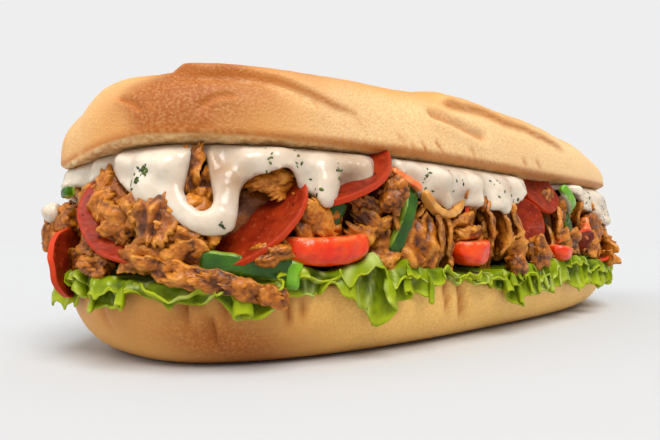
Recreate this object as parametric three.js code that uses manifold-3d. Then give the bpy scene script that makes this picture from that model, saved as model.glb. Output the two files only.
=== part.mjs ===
// A long cheesesteak roll: two halves of a scored roll round a lettuce bed, a heap of shaved steak with
// salami, tomato, pepper, carrot and onion in it, and a blanket of melted cheese that hangs over its sides.
// Millimetres. +X runs along the roll, -Y is the front, +Z is up, and the origin is the centre of the flat
// underside.
import * as THREE from "three";
import { mergeVertices } from "three/addons/utils/BufferGeometryUtils.js";
import Module from "manifold-3d";

const wasm = await Module();
wasm.setup();

// ---- driving dimensions ----
const GAP = 0.35; // clear space between neighbours that touch
const WELD = 1e-3; // vertices nearer than this are one

const TOP_HALF_LENGTH = 129;
const TOP_HALF_WIDTH = 51;
const TOP_PLAN_POWER = 2.8; // 2 is an ellipse, more is squarer
const RIM_HEIGHT = 52; // where the crust of the top half ends
const LEFT_TIP_DROP = 4.5; // the rim sinks at the left tip and lifts at the right one
const RIGHT_TIP_RISE = 4.5;
const CROWN_HEIGHT = 23.4; // from the rim to the crown
const LEFT_CROWN_FALL = 0.6; // how much lower the crown is at each tip
const RIGHT_CROWN_FALL = 2.6;
const LEFT_CROWN_POWER = 3.7; // blunt at the left end, tapered at the right one
const RIGHT_CROWN_POWER = 2.5;
const CRUMB_BULGE = 1.6; // the cut face swells below the rim

const BASE_HALF_LENGTH = 126;
const BASE_HALF_WIDTH = 51;
const BASE_PLAN_POWER = 2.8;
const BASE_HEIGHT = 20;
const BASE_INSET = 16; // how far the flat underside stays inside the widest line

const WALL_HALF_LENGTH = 126; // the filling's outer face, where toppings are laid
const WALL_HALF_WIDTH = 50.5;
const WALL_POWER = 2.8;
const CORE_INSET = 3.6; // the steak's core lies this far inside that face
const HEAP_FLOOR = 22.8;
const HEAP_TOP = 46;

const LEAF_BED_HEIGHT = 21.3;
const LEAF_THICKNESS = 0.9;
const LEAST_LEAF_DROP = 1.5;
const CHEESE_THICKNESS = 1.8;
const LEAST_CHEESE_DROP = 1.8;
const CHEESE_SAG = 1.6; // how much lower the cheese lies in the middle of the roll

const COLOURS = {
  crust: 0xd99a55,
  leaf: 0x8fb52c,
  cheese: 0xe6d8bf,
  steak: 0x8a5526,
  salami: 0xa83a26,
  tomato: 0xd8341c,
  pepper: 0x3f6b1e,
  carrot: 0xe0591c,
  onion: 0xd9b374,
};

// ---- small maths ----
const radians = THREE.MathUtils.degToRad;
const clamp = THREE.MathUtils.clamp;
const signedPower = (value, power) => Math.sign(value) * Math.abs(value) ** power;
const bump = (distance, width) => Math.exp(-((distance / width) ** 2));
const arcBetween = (a, b) => ((a - b + 540) % 360) - 180;

// Seeded draws, so that each build is the same.
function dice(seed) {
  let state = seed >>> 0;
  return (low, high) => {
    state = (Math.imul(state, 1664525) + 1013904223) >>> 0;
    return low + ((high - low) * state) / 4294967296;
  };
}

// A point of a superellipse by its bearing in degrees: 0 is the right tip, 180 the left one, 270 the front.
function planPoint(bearing, halfLength, halfWidth, power) {
  const angle = radians(bearing);
  return new THREE.Vector2(
    halfLength * signedPower(Math.cos(angle), 2 / power),
    halfWidth * signedPower(Math.sin(angle), 2 / power),
  );
}

// A point of the filling's face, moved outwards by out.
function wallPoint(bearing, out) {
  const edge = planPoint(bearing, WALL_HALF_LENGTH, WALL_HALF_WIDTH, WALL_POWER);
  return edge.addScaledVector(wallNormal(edge), out);
}

function wallNormal(edge) {
  return new THREE.Vector2(
    signedPower(edge.x / WALL_HALF_LENGTH, WALL_POWER - 1) / WALL_HALF_LENGTH,
    signedPower(edge.y / WALL_HALF_WIDTH, WALL_POWER - 1) / WALL_HALF_WIDTH,
  ).normalize();
}

// Bearings that are evenly spaced along the filling's face, and not in angle.
function evenBearings(count) {
  const fine = 1440;
  const lengths = [0];
  for (let i = 1; i <= fine; i++) {
    const step = wallPoint((360 * i) / fine, 0).distanceTo(wallPoint((360 * (i - 1)) / fine, 0));
    lengths.push(lengths[i - 1] + step);
  }
  let i = 0;
  return Array.from({ length: count }, (_, k) => {
    const wanted = (lengths[fine] * k) / count;
    while (lengths[i + 1] < wanted) i++;
    const share = (wanted - lengths[i]) / (lengths[i + 1] - lengths[i]);
    return (360 * (i + share)) / fine;
  });
}

// How far something hangs at a bearing, where each lobe has its bearing, half width and drop.
function lobeDrop(lobes, bearing) {
  let drop = 0;
  for (const [middle, reach, depth] of lobes) {
    const away = Math.abs(arcBetween(bearing, middle)) / reach;
    if (away < 1) drop = Math.max(drop, depth * (1 - away ** 2.4) ** 0.8);
  }
  return drop;
}

// ---- closed bodies ----
function geometryOf(points, triangles) {
  const flat = new Float32Array(points.flatMap((p) => [p.x, p.y, p.z]));
  return new THREE.BufferGeometry()
    .setAttribute("position", new THREE.BufferAttribute(flat, 3))
    .setIndex(triangles);
}

// Rings of equal count joined in order, with a pole point at each end.
function ringBody(startPole, rings, endPole) {
  const count = rings[0].length;
  const points = [startPole, ...rings.flat(), endPole];
  const triangles = [];
  const at = (ring, i) => 1 + ring * count + (i % count);
  for (let i = 0; i < count; i++) {
    triangles.push(0, at(0, i + 1), at(0, i));
    for (let r = 0; r + 1 < rings.length; r++) {
      triangles.push(at(r, i), at(r, i + 1), at(r + 1, i + 1));
      triangles.push(at(r, i), at(r + 1, i + 1), at(r + 1, i));
    }
    triangles.push(points.length - 1, at(rings.length - 1, i), at(rings.length - 1, i + 1));
  }
  return geometryOf(points, triangles);
}

// A bent sheet: surface(u, v) gives its middle and depth(u, v) its thickness there, with u and v from 0 to 1.
function sheetBody(columns, rows, surface, depth) {
  const points = [];
  const step = 1e-3;
  for (const side of [1, -1])
    for (let j = 0; j <= rows; j++)
      for (let i = 0; i <= columns; i++) {
        const u = i / columns;
        const v = j / rows;
        const middle = surface(u, v);
        const du = surface(Math.min(u + step, 1), v).sub(surface(Math.max(u - step, 0), v));
        const dv = surface(u, Math.min(v + step, 1)).sub(surface(u, Math.max(v - step, 0)));
        const normal = du.cross(dv).normalize();
        points.push(middle.addScaledVector(normal, (side * depth(u, v)) / 2));
      }
  const across = columns + 1;
  const face = across * (rows + 1);
  const triangles = [];
  const quad = (a, b, c, d) => triangles.push(a, b, c, a, c, d);
  for (let j = 0; j < rows; j++)
    for (let i = 0; i < columns; i++) {
      const a = j * across + i;
      triangles.push(a, a + 1, a + across + 1, a, a + across + 1, a + across);
      const b = a + face;
      triangles.push(b, b + across + 1, b + 1, b, b + across, b + across + 1);
    }
  for (let i = 0; i < columns; i++) {
    quad(i + 1, i, i + face, i + 1 + face);
    const top = rows * across + i;
    quad(top, top + 1, top + 1 + face, top + face);
  }
  for (let j = 0; j < rows; j++) {
    const left = j * across;
    quad(left, left + across, left + across + face, left + face);
    const right = left + columns;
    quad(right + across, right, right + face, right + across + face);
  }
  return geometryOf(points, triangles);
}

// A sheet that covers the whole plan and hangs over its edge. path(bearing, t) gives { out, z } from the
// inner ring, t = 0, to the hem, t = 1, and the thickness lies across that path.
function blanketBody(steps, stops, middleHeight, path, thickness, grow) {
  const bearings = evenBearings(steps);
  const nudge = 0.04;
  const half = thickness / 2 + grow;
  const ringOn = (side, stop) => {
    const t = stop === 1 ? 1 + grow / 8 : stop;
    return bearings.map((bearing) => {
      const here = path(bearing, t);
      const before = path(bearing, t - nudge);
      const after = path(bearing, t + nudge);
      const along = new THREE.Vector2(after.out - before.out, after.z - before.z).normalize();
      const spot = wallPoint(bearing, here.out - along.y * side * half);
      return new THREE.Vector3(spot.x, spot.y, here.z + along.x * side * half);
    });
  };
  const upper = stops.map((stop) => ringOn(1, stop).reverse());
  const lower = stops.map((stop) => ringOn(-1, stop).reverse()).reverse();
  const pole = (side) => new THREE.Vector3(0, 0, middleHeight + side * half);
  return ringBody(pole(1), [...upper, ...lower], pole(-1));
}

// ---- solids, cuts and joins ----
function solidOf(geometry) {
  const bare = geometry.clone();
  bare.deleteAttribute("normal");
  bare.deleteAttribute("uv");
  const merged = mergeVertices(bare, WELD);
  return new wasm.Manifold(
    new wasm.Mesh({
      numProp: 3,
      vertProperties: new Float32Array(merged.attributes.position.array),
      triVerts: new Uint32Array(merged.index.array),
    }),
  );
}

// The largest closed shell of a solid: a scrap that a cut split off is dropped, and a hollow that joining
// sealed is filled. Triangles belong to one shell where they share an edge.
function mainBody(solid) {
  const { positions, triangles } = meshOf(solid);
  const corners = [0, 1, 2];
  const edgeKey = (from, to) => from * positions.length + to;
  const faceOfEdge = new Map();
  for (const [f, face] of triangles.entries())
    for (const k of corners) faceOfEdge.set(edgeKey(face[k], face[(k + 1) % 3]), f);
  const seen = new Set();
  const shells = [];
  for (const start of triangles.keys()) {
    if (seen.has(start)) continue;
    seen.add(start);
    const shell = [start];
    for (const f of shell)
      for (const k of corners) {
        const next = faceOfEdge.get(edgeKey(triangles[f][(k + 1) % 3], triangles[f][k]));
        if (next === undefined || seen.has(next)) continue;
        seen.add(next);
        shell.push(next);
      }
    shells.push(shell.map((f) => triangles[f]));
  }
  const tetraVolume = ([a, b, c]) => positions[a].dot(positions[b].clone().cross(positions[c])) / 6;
  const volumeOf = (shell) => shell.reduce((sum, face) => sum + tetraVolume(face), 0);
  const main = shells.reduce((best, next) => (volumeOf(next) > volumeOf(best) ? next : best));
  return solidOf(geometryOf(positions, main.flat()));
}

function meshOf(solid) {
  const geometry = mergeVertices(geometryFrom(solid), WELD);
  const flat = geometry.attributes.position;
  const pointAt = (_, i) => new THREE.Vector3().fromBufferAttribute(flat, i);
  const positions = Array.from({ length: flat.count }, pointAt);
  const triangles = [];
  for (let i = 0; i < geometry.index.count; i += 3)
    triangles.push([0, 1, 2].map((k) => geometry.index.getX(i + k)));
  return { positions, triangles: triangles.filter(([a, b, c]) => a !== b && b !== c && c !== a) };
}

// The shape, grown about its middle until each side of its box stands out by the gap.
function grown(geometry) {
  geometry.computeBoundingBox();
  const middle = geometry.boundingBox.getCenter(new THREE.Vector3());
  const size = geometry.boundingBox.getSize(new THREE.Vector3());
  const factors = size.toArray().map((length) => 1 + (2 * GAP) / length);
  return geometry.clone().translate(...middle.clone().negate()).scale(...factors).translate(...middle);
}

function geometryFrom(solid) {
  const mesh = solid.getMesh();
  return new THREE.BufferGeometry()
    .setAttribute("position", new THREE.BufferAttribute(new Float32Array(mesh.vertProperties), 3))
    .setIndex(new THREE.BufferAttribute(new Uint32Array(mesh.triVerts), 1));
}

// ---- the roll ----
// Scores: knife cuts that opened in the oven. Each runs from one place to another, given by x and the angle
// round the section (0 is the front rim, 90 the crown, 180 the back rim), and the crust behind it baked up
// into a raised ear.
const SCORES = [
  { from: [-120, 96], to: [-72, 8], groove: 1.8, ear: 3.2 },
  { from: [-56, 92], to: [34, 22], groove: 1.8, ear: 3.6 },
  { from: [20, 150], to: [104, 66], groove: 1.6, ear: 2.6 },
];
const EAR_FADE = 7; // how far behind a score its ear sinks back into the crust
const GIRTH_PER_DEGREE = 0.8; // millimetres of crust for each degree round the section
// Small creases in the crust: x, angle, reach along and round, depth.
const TOP_CREASES = [
  { x: -123, angle: 42, reach: 4, depth: 1.5 },
  { x: -112, angle: 30, reach: 5, depth: 1.6 },
  { x: -38, angle: 34, reach: 6, depth: 1.4 },
  { x: -18, angle: 28, reach: 5, depth: 1 },
];
const BASE_CREASES = [
  { bearing: 205, reach: 2.6, depth: 2.2 },
  { bearing: 210, reach: 2, depth: 1.6 },
  { bearing: 225, reach: 2.4, depth: 2 },
  { bearing: 244, reach: 1.8, depth: 1 },
  { bearing: 257, reach: 2, depth: 1.4 },
  { bearing: 60, reach: 3, depth: 1.8 },
  { bearing: 118, reach: 2.6, depth: 1.6 },
];

// A place on the crust, laid out flat: along the roll, and round its section.
const onCrust = (x, angle) => new THREE.Vector2(x, angle * GIRTH_PER_DEGREE);

function crustRelief(x, angle) {
  const here = onCrust(x, angle);
  let relief = 0;
  for (const score of SCORES) {
    const run = onCrust(...score.to).sub(onCrust(...score.from));
    const length = run.length();
    run.normalize();
    const past = here.clone().sub(onCrust(...score.from));
    const along = past.dot(run);
    const behind = run.cross(past);
    const fade = clamp(along / 8 + 0.5, 0, 1) * clamp((length - along) / 10 + 0.5, 0, 1);
    const raised = score.ear * Math.exp(-behind / EAR_FADE);
    relief += fade * (behind > 0 ? raised : -score.groove * bump(behind + 3, 4));
  }
  for (const crease of TOP_CREASES)
    relief -= crease.depth * bump(here.distanceTo(onCrust(crease.x, crease.angle)), crease.reach);
  return relief;
}

function rimHeight(x) {
  const share = x / TOP_HALF_LENGTH;
  return RIM_HEIGHT + (share > 0 ? RIGHT_TIP_RISE * share ** 2 : -LEFT_TIP_DROP * share ** 12);
}

function crownHeight(x) {
  const share = x / TOP_HALF_LENGTH;
  return CROWN_HEIGHT - (share > 0 ? RIGHT_CROWN_FALL : LEFT_CROWN_FALL) * share ** 2;
}

function crownPower(x) {
  const toTheRight = 1 / (1 + Math.exp(-x / 30));
  return THREE.MathUtils.lerp(LEFT_CROWN_POWER, RIGHT_CROWN_POWER, toTheRight);
}

const topHalfWidth = (x) =>
  TOP_HALF_WIDTH * (1 - Math.abs(x / TOP_HALF_LENGTH) ** TOP_PLAN_POWER) ** (1 / TOP_PLAN_POWER);

// How far a place is from the middle line to the rim, from 0 to 1.
function planShare(x, y) {
  const alongPower = Math.abs(x / TOP_HALF_LENGTH) ** TOP_PLAN_POWER;
  const acrossPower = Math.abs(y / TOP_HALF_WIDTH) ** TOP_PLAN_POWER;
  return Math.min((alongPower + acrossPower) ** (1 / TOP_PLAN_POWER), 1);
}

function crustPoint(x, angle) {
  const y = -topHalfWidth(x) * signedPower(Math.cos(radians(angle)), 0.72);
  const power = crownPower(x);
  const rise = (1 - planShare(x, y) ** power) ** (1 / power);
  const point = new THREE.Vector3(x, y, rimHeight(x) + crownHeight(x) * rise);
  const normal = new THREE.Vector3(
    (2 * x) / TOP_HALF_LENGTH ** 2,
    (2 * y) / TOP_HALF_WIDTH ** 2,
    Math.max(rise, 0.05) / CROWN_HEIGHT,
  ).normalize();
  return point.addScaledVector(normal, crustRelief(x, angle) * Math.min(rise * 1.8, 1));
}

function crumbPoint(x, y) {
  const bulge = CRUMB_BULGE * Math.min((1 - planShare(x, y)) * 9, 1) ** 0.5;
  return new THREE.Vector3(x, y, rimHeight(x) - bulge);
}

function rollTop() {
  const stations = 36;
  const crustSteps = 14;
  const crumbShares = [0.94, 0.5, 0, -0.5, -0.94];
  const rings = [];
  for (let i = 1; i < stations; i++) {
    const x = TOP_HALF_LENGTH * Math.sin(radians(90 * ((2 * i) / stations - 1)));
    const ring = [];
    for (let j = 0; j <= crustSteps; j++) ring.push(crustPoint(x, 180 - (180 * j) / crustSteps));
    for (const share of crumbShares) ring.push(crumbPoint(x, -share * topHalfWidth(x)));
    rings.push(ring);
  }
  const tip = (x) => new THREE.Vector3(x, 0, rimHeight(x) + 0.6);
  return ringBody(tip(-TOP_HALF_LENGTH), rings, tip(TOP_HALF_LENGTH));
}

function rollBase() {
  const bearings = evenBearings(64);
  const ringAt = (inset, z, crease) =>
    bearings.map((bearing) => {
      let shrink = inset;
      for (const dent of BASE_CREASES)
        shrink += dent.depth * crease * bump(arcBetween(bearing, dent.bearing), dent.reach);
      const [halfLength, halfWidth] = [BASE_HALF_LENGTH - shrink, BASE_HALF_WIDTH - shrink];
      const spot = planPoint(bearing, halfLength, halfWidth, BASE_PLAN_POWER);
      return new THREE.Vector3(spot.x, spot.y, z);
    });
  const flankInset = (share) => BASE_INSET * (1 - Math.sqrt(1 - (1 - share) ** 2));
  const flank = [0, 0.06, 0.24, 0.56, 0.9].map((share) =>
    ringAt(flankInset(share), BASE_HEIGHT * share, Math.sin(Math.PI * share) ** 0.5),
  );
  const rim = ringAt(1.2, BASE_HEIGHT, 0.6);
  const crumb = ringAt(7, BASE_HEIGHT - 0.7, 0);
  const crumbMiddle = new THREE.Vector3(0, 0, BASE_HEIGHT - 1);
  return ringBody(new THREE.Vector3(0, 0, 0), [...flank, rim, crumb], crumbMiddle);
}

// ---- lettuce and cheese ----
// Lobes of the leaves' hem and of the melted cheese: bearing, half width in degrees, drop below the sheet.
const LEAF_LOBES = [
  [172, 6, 7], [180, 5, 4], [188, 5, 6.5], [199, 6, 4], [206, 3.5, 5], [218, 5.5, 9], [229, 4, 5],
  [240, 3.5, 9.5], [250, 3.6, 7], [259, 3, 5], [266.5, 3, 12], [272, 3.4, 7.5], [279, 4, 9], [295, 11, 8.5],
  [322, 8, 7], [343, 7, 9], [1, 6, 6], [14, 6, 8], [27, 5, 5], [38, 6, 10], [50, 4, 6], [61, 4, 10],
  [71, 4, 7], [80, 3.4, 9], [89, 3.6, 5], [97, 3.6, 10], [107, 4, 6], [119, 5, 9], [134, 6, 7], [153, 7, 9],
];
const CHEESE_LOBES = [
  [174, 9, 2.5], [197, 11, 9.4], [211, 5.6, 16.8], [218, 7, 6.4], [230.5, 6.5, 9.2], [237, 5, 4.4],
  [257, 12.6, 9.2], [298, 20, 10.2], [333, 9, 6], [352, 9, 10], [14, 9, 12], [31, 8, 7], [48, 9, 11],
  [66, 5, 5], [77, 6, 9], [89, 5, 12], [103, 8, 7], [121, 8, 11], [141, 9, 8], [159, 7, 3],
];
const LEAF_CUTS = [-48, 44]; // x where one leaf ends and the next one starts

function leafPath(bearing, t) {
  const drop = LEAST_LEAF_DROP + lobeDrop(LEAF_LOBES, bearing);
  const ruffle = Math.sin(radians(bearing * 31)) + 0.6 * Math.sin(radians(bearing * 47 + 60));
  const hang = Math.max(t - 0.5, 0) * 2;
  const rest = Math.min(t, 0.5) * 2;
  return {
    out: -14 + 15 * rest + (2 + 0.1 * drop) * Math.sqrt(hang) + 1.1 * ruffle * hang,
    z: LEAF_BED_HEIGHT - drop * hang ** 1.3 + 0.8 * ruffle * Math.sin(Math.PI * Math.min(hang, 1)),
  };
}

// The cheese lies right under the top half's cut face, and follows its rim.
const cheeseHeight = (x) => rimHeight(x) - CRUMB_BULGE - GAP - CHEESE_THICKNESS / 2;

function cheesePath(bearing, t) {
  const lobe = lobeDrop(CHEESE_LOBES, bearing);
  const reachOut = Math.min(lobe / 3, 1); // between the lobes the hem stays back under the roll
  const fold = Math.sin(radians(bearing * 23)) * 0.6;
  const hang = Math.max(t - 0.4, 0) / 0.6;
  const rest = Math.min(t / 0.4, 1);
  const out = -24 + (18.5 + 6.5 * reachOut) * rest + (2.2 * Math.sqrt(hang) + fold * hang) * reachOut;
  return { out, z: cheeseHeight(wallPoint(bearing, out).x) - (LEAST_CHEESE_DROP + lobe) * hang ** 1.1 };
}

const LEAF_STOPS = [0, 0.48, 0.72, 1];
const CHEESE_STOPS = [0, 0.38, 0.6, 1];

const leafBody = (grow) =>
  blanketBody(96, LEAF_STOPS, LEAF_BED_HEIGHT, leafPath, LEAF_THICKNESS, grow);

const cheeseBody = (grow) =>
  blanketBody(84, CHEESE_STOPS, cheeseHeight(0) - CHEESE_SAG, cheesePath, CHEESE_THICKNESS, grow);

// ---- pieces ----
// Each is made flat, with +X to the right, +Y up and +Z towards the viewer, and is grown by a gap where it
// makes room for itself among its neighbours.

// A thin round slice of salami, curled to a shallow cup.
function roundSlice([radius, thickness, curl], grow) {
  const sides = 14;
  const half = thickness / 2 + grow;
  const rimOn = (side) =>
    Array.from({ length: sides }, (_, i) => {
      const angle = (-2 * Math.PI * i) / sides;
      const reach = radius + grow;
      return new THREE.Vector3(reach * Math.cos(angle), reach * Math.sin(angle), curl + side * half);
    });
  return ringBody(new THREE.Vector3(0, 0, half), [rimOn(1), rimOn(-1)], new THREE.Vector3(0, 0, -half));
}

// A tomato wedge that lies flat, its round skin side towards the viewer.
function wedge([radius, thickness, deep], grow) {
  const surface = (u, v) => {
    const a = 2 * u - 1;
    const x = (radius + grow) * a;
    const bow = Math.sqrt(1 - 0.9 * a ** 2);
    return new THREE.Vector3(x, 0, deep * (bow - 1) * v - (1 - v) * (deep + grow) + grow * v);
  };
  const depth = (u, v) => (thickness + 2 * grow) * (v > 0.9 ? 0.66 : 1);
  return sheetBody(6, 2, surface, depth);
}

// A bent strip of pepper, carrot or onion.
function strip([length, width, thickness, arc], grow) {
  const bend = radians(arc);
  const curve = length / bend;
  const surface = (u, v) => {
    const angle = (u - 0.5) * bend * (1 + (2 * grow) / length);
    return new THREE.Vector3(
      curve * Math.sin(angle),
      (v - 0.5) * (width + 2 * grow),
      curve * (Math.cos(angle) - 1),
    );
  };
  return sheetBody(6, 1, surface, () => thickness + 2 * grow);
}

// A shaving of steak: a thin, curled and ragged slice.
function shaving([length, width, thickness, curl], seed) {
  const draw = dice(seed);
  const phase = draw(0, 6);
  const ripple = draw(0.4, 1);
  const skew = draw(-0.3, 0.3);
  const bend = radians(curl);
  const surface = (u, v) => {
    const ragged = 1 - 0.2 * (1 + Math.sin(9 * u + phase)) * Math.abs(2 * v - 1);
    const angle = (u - 0.5) * bend;
    const curve = length / bend;
    return new THREE.Vector3(
      curve * Math.sin(angle),
      (v - 0.5) * width * ragged + skew * (u - 0.5) * width,
      curve * (Math.cos(angle) - 1) + ripple * Math.sin(7 * u + 4 * v + phase),
    );
  };
  return sheetBody(4, 1, surface, (u) => thickness * (1 - 0.5 * Math.abs(2 * u - 1) ** 4));
}

// A chunk of steak: a lumpy ball.
function chunk([length, width, thickness], seed) {
  const draw = dice(seed);
  const sides = 6;
  const rings = [32, -32].map((level) =>
    Array.from({ length: sides }, (_, i) => {
      const angle = (2 * Math.PI * (i + draw(-0.25, 0.25))) / sides;
      const size = draw(0.8, 1.12);
      const reach = size * Math.cos(radians(level));
      const lift = size * Math.sin(radians(level)) * 0.5 * thickness;
      const [right, up] = [0.5 * length * reach * Math.cos(angle), 0.5 * width * reach * Math.sin(angle)];
      return new THREE.Vector3(right, up, lift);
    }).reverse(),
  );
  return ringBody(new THREE.Vector3(0, 0, thickness / 2), rings, new THREE.Vector3(0, 0, -thickness / 2));
}

const SHAPES = {
  salami: roundSlice,
  tomato: wedge,
  pepper: strip,
  carrot: strip,
  onion: strip,
  blob: strip,
  shaving,
  chunk,
};

// at: bearing, height and distance out of the filling's face. turned: roll in that face, lean of the top
// towards the viewer, and swing like a door, in degrees. size: what the kind's own function takes.
const TOPPINGS = [
  { name: "salami_1", at: [175, 24, 1.6], turned: [0, -6, 104], size: [8.6, 2.2, 1.2] },
  { name: "salami_2", at: [190, 36, -8], turned: [0, -34, 36], size: [16, 2, 2] },
  { name: "salami_3", at: [221, 39, -9], turned: [0, -38, -44], size: [17, 2, 2] },
  { name: "salami_4", at: [235, 45.5, -9], turned: [0, -54, -50], size: [17, 2.2, 1] },
  { name: "salami_5", at: [270, 35, -4.6], turned: [0, -10, -34], size: [9, 2, 1.5] },
  { name: "salami_6", at: [272.5, 47, -4], turned: [0, -30, -10], size: [9.5, 2, 1] },
  { name: "salami_7", at: [285, 29, -3], turned: [0, 44, -20], size: [8, 2, 1.2] },
  { name: "salami_8", at: [297, 20.6, -1], turned: [0, 60, 0], size: [6, 1.8, 1] },
  { name: "salami_9", at: [260, 37, -4], turned: [0, -10, 40], size: [6, 1.8, 1] },
  { name: "tomato_1", at: [233.5, 27.4, 1.6], turned: [0, 0, 0], size: [10.5, 6.8, 4.5] },
  { name: "tomato_2", at: [259.6, 25.4, 1.6], turned: [2, 0, 0], size: [5.6, 7, 4] },
  { name: "tomato_3", at: [274.2, 25, 1.4], turned: [-6, 0, 0], size: [4, 5.6, 4] },
  { name: "pepper_1", at: [218.6, 24.4, 1.8], turned: [-5, 6, 0], size: [20, 4.6, 2.4, 34] },
  { name: "pepper_2", at: [246, 34.6, 1], turned: [66, 0, 0], size: [19, 4, 2.4, 40] },
  { name: "pepper_3", at: [233.4, 36, -1.6], turned: [60, 0, 0], size: [7, 5.4, 3.6, 20] },
  { name: "pepper_4", at: [278.6, 44, 1.2], turned: [-34, 20, 0], size: [18, 3.6, 2.6, 80] },
  { name: "pepper_5", at: [177, 41, 3.4], turned: [10, 0, 0], size: [4, 2.4, 2.4, 20] },
  { name: "pepper_6", at: [279, 36, -1], turned: [-60, 0, 0], size: [8, 5, 3, 30] },
  { name: "carrot_1", at: [247, 44.6, 2], turned: [-24, 0, 0], size: [11, 3, 2.6, 8] },
  { name: "carrot_2", at: [286.5, 34.5, 0.6], turned: [70, 0, 0], size: [8.5, 6, 3.4, 30] },
  { name: "onion_1", at: [254.5, 36.4, 0.8], turned: [-12, 10, 0], size: [15, 5, 1.8, 60] },
  { name: "blob_1", at: [168, 35.5, 3.6], turned: [14, 0, 0], size: [6.5, 5, 4, 50] },
];

// The hidden side holds fewer toppings: these have no like there.
const FRONT_ONLY = [
  "salami_4", "salami_6", "salami_8", "salami_9", "pepper_3", "pepper_5", "pepper_6", "blob_1",
];

const STEAK_PIECES = [
  { kind: "chunk", at: [164, 32.5, 3.8], turned: [70, 0, 0], size: [12, 6, 7] },
  { kind: "chunk", at: [166, 31, -1.2], turned: [0, 0, 0], size: [13, 10, 12] },
  { kind: "chunk", at: [176, 22.4, 1.8], turned: [8, 0, 0], size: [14, 6.5, 7] },
  { kind: "chunk", at: [178, 27, 0.8], turned: [-30, 0, 0], size: [9, 6.5, 6] },
  { kind: "shaving", at: [179, 39, -0.6], turned: [20, 10, 0], size: [12, 6, 4, 60] },
  { kind: "shaving", at: [184, 42, -0.2], turned: [66, 0, 0], size: [10, 4.5, 3, 40] },
  { kind: "shaving", at: [188, 37, -0.2], turned: [-50, 0, 20], size: [16, 5, 3, 50] },
  { kind: "chunk", at: [196, 33, -1.2], turned: [10, 0, 0], size: [15, 12, 7] },
  { kind: "shaving", at: [200, 33, 1.2], turned: [80, -6, 10], size: [10, 6.5, 2, 30] },
  { kind: "chunk", at: [198, 24.5, 1.4], turned: [16, 0, 0], size: [14, 7, 7] },
  { kind: "chunk", at: [206, 26, 2.4], turned: [-24, 0, 0], size: [14, 8, 9] },
  { kind: "shaving", at: [212, 21, 5], turned: [-11, 14, 0], size: [30, 5, 3, 20] },
  { kind: "chunk", at: [220, 27.8, 0.8], turned: [10, 0, 0], size: [10, 6.4, 6] },
  { kind: "shaving", at: [208.6, 45, 0.2], turned: [84, 0, 0], size: [8, 3, 2.6, 20] },
  { kind: "shaving", at: [231, 34.6, 0.2], turned: [-46, 0, 20], size: [11, 5, 3.4, 30] },
  { kind: "chunk", at: [243.6, 40.8, 0.4], turned: [0, 0, 0], size: [8, 8, 7] },
  { kind: "shaving", at: [239.5, 36, 0.2], turned: [-16, 40, 0], size: [13, 5, 3, 110] },
  { kind: "shaving", at: [240.5, 31, 0.4], turned: [-8, 30, 0], size: [11, 6, 3.6, 90] },
  { kind: "shaving", at: [250, 29, 0.8], turned: [70, 0, 14], size: [16, 12, 3, 90] },
  { kind: "shaving", at: [253.6, 31, 0.8], turned: [80, 0, 60], size: [17, 9, 2.6, 60] },
  { kind: "shaving", at: [259, 32.6, 0.4], turned: [-4, 30, 0], size: [14, 6.5, 3.6, 70] },
  { kind: "shaving", at: [263.4, 34.6, 0.2], turned: [78, 0, 56], size: [14, 7, 2.4, 60] },
  { kind: "shaving", at: [266.4, 33.6, 0.2], turned: [84, 0, 56], size: [16, 7, 2.4, 60] },
  { kind: "chunk", at: [267, 22.6, 1.2], turned: [-18, 0, 0], size: [8, 6, 5] },
  { kind: "chunk", at: [270.6, 26.6, 0.8], turned: [-30, 0, 0], size: [10, 9, 6] },
  { kind: "shaving", at: [276.6, 34.4, 0.2], turned: [70, 0, 40], size: [12, 6, 2.6, 60] },
  { kind: "chunk", at: [297, 33, -0.2], turned: [-20, 0, 0], size: [16, 9, 7] },
  { kind: "chunk", at: [306, 27, 0.4], turned: [10, 0, 0], size: [14, 9, 8] },
];
const SMALL_PIECES = 60; // tried all the way round, and left out where they would cross something
const MOST_CROSSING = 0.02; // of a small piece's volume
const MOST_TRIMMED = 0.3; // of a large one's

function smallPieces() {
  const draw = dice(2024);
  return Array.from({ length: SMALL_PIECES }, (_, i) => ({
    kind: i % 2 ? "chunk" : "shaving",
    at: [(360 * (i + draw(-0.3, 0.3))) / SMALL_PIECES, 27 + 5 * (i % 4) + draw(-1, 1), draw(-2.5, -0.5)],
    turned: [draw(-80, 80), draw(-20, 25), draw(-40, 40)],
    size: [draw(11, 15), draw(7, 9), draw(5, 7), draw(40, 100)],
  }));
}

// The hidden side has its own pieces of the same kinds, uneven in the same way.
function onTheBack(items) {
  const draw = dice(77);
  return items.map((item) => ({
    ...item,
    name: item.name?.replace("_", "_back_"),
    at: [(item.at[0] + 180 + draw(-2, 2)) % 360, item.at[1] + draw(-0.8, 0.8), item.at[2]],
    turned: [item.turned[0] + draw(-8, 8), item.turned[1], item.turned[2] + draw(-4, 4)],
  }));
}

// Places a flat piece: right along the filling's face, up, and out of it.
function laid(geometry, { at: [bearing, height, out], turned: [roll, lean, swing] }) {
  const edge = wallPoint(bearing, out);
  const normal = wallNormal(wallPoint(bearing, 0));
  const outward = new THREE.Vector3(normal.x, normal.y, 0);
  const up = new THREE.Vector3(0, 0, 1);
  const place = new THREE.Matrix4()
    .makeBasis(new THREE.Vector3().crossVectors(up, outward), up, outward)
    .setPosition(edge.x, edge.y, height)
    .multiply(new THREE.Matrix4().makeRotationY(radians(swing)))
    .multiply(new THREE.Matrix4().makeRotationX(radians(lean)))
    .multiply(new THREE.Matrix4().makeRotationZ(radians(roll)));
  return solidOf(geometry.applyMatrix4(place));
}

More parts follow.
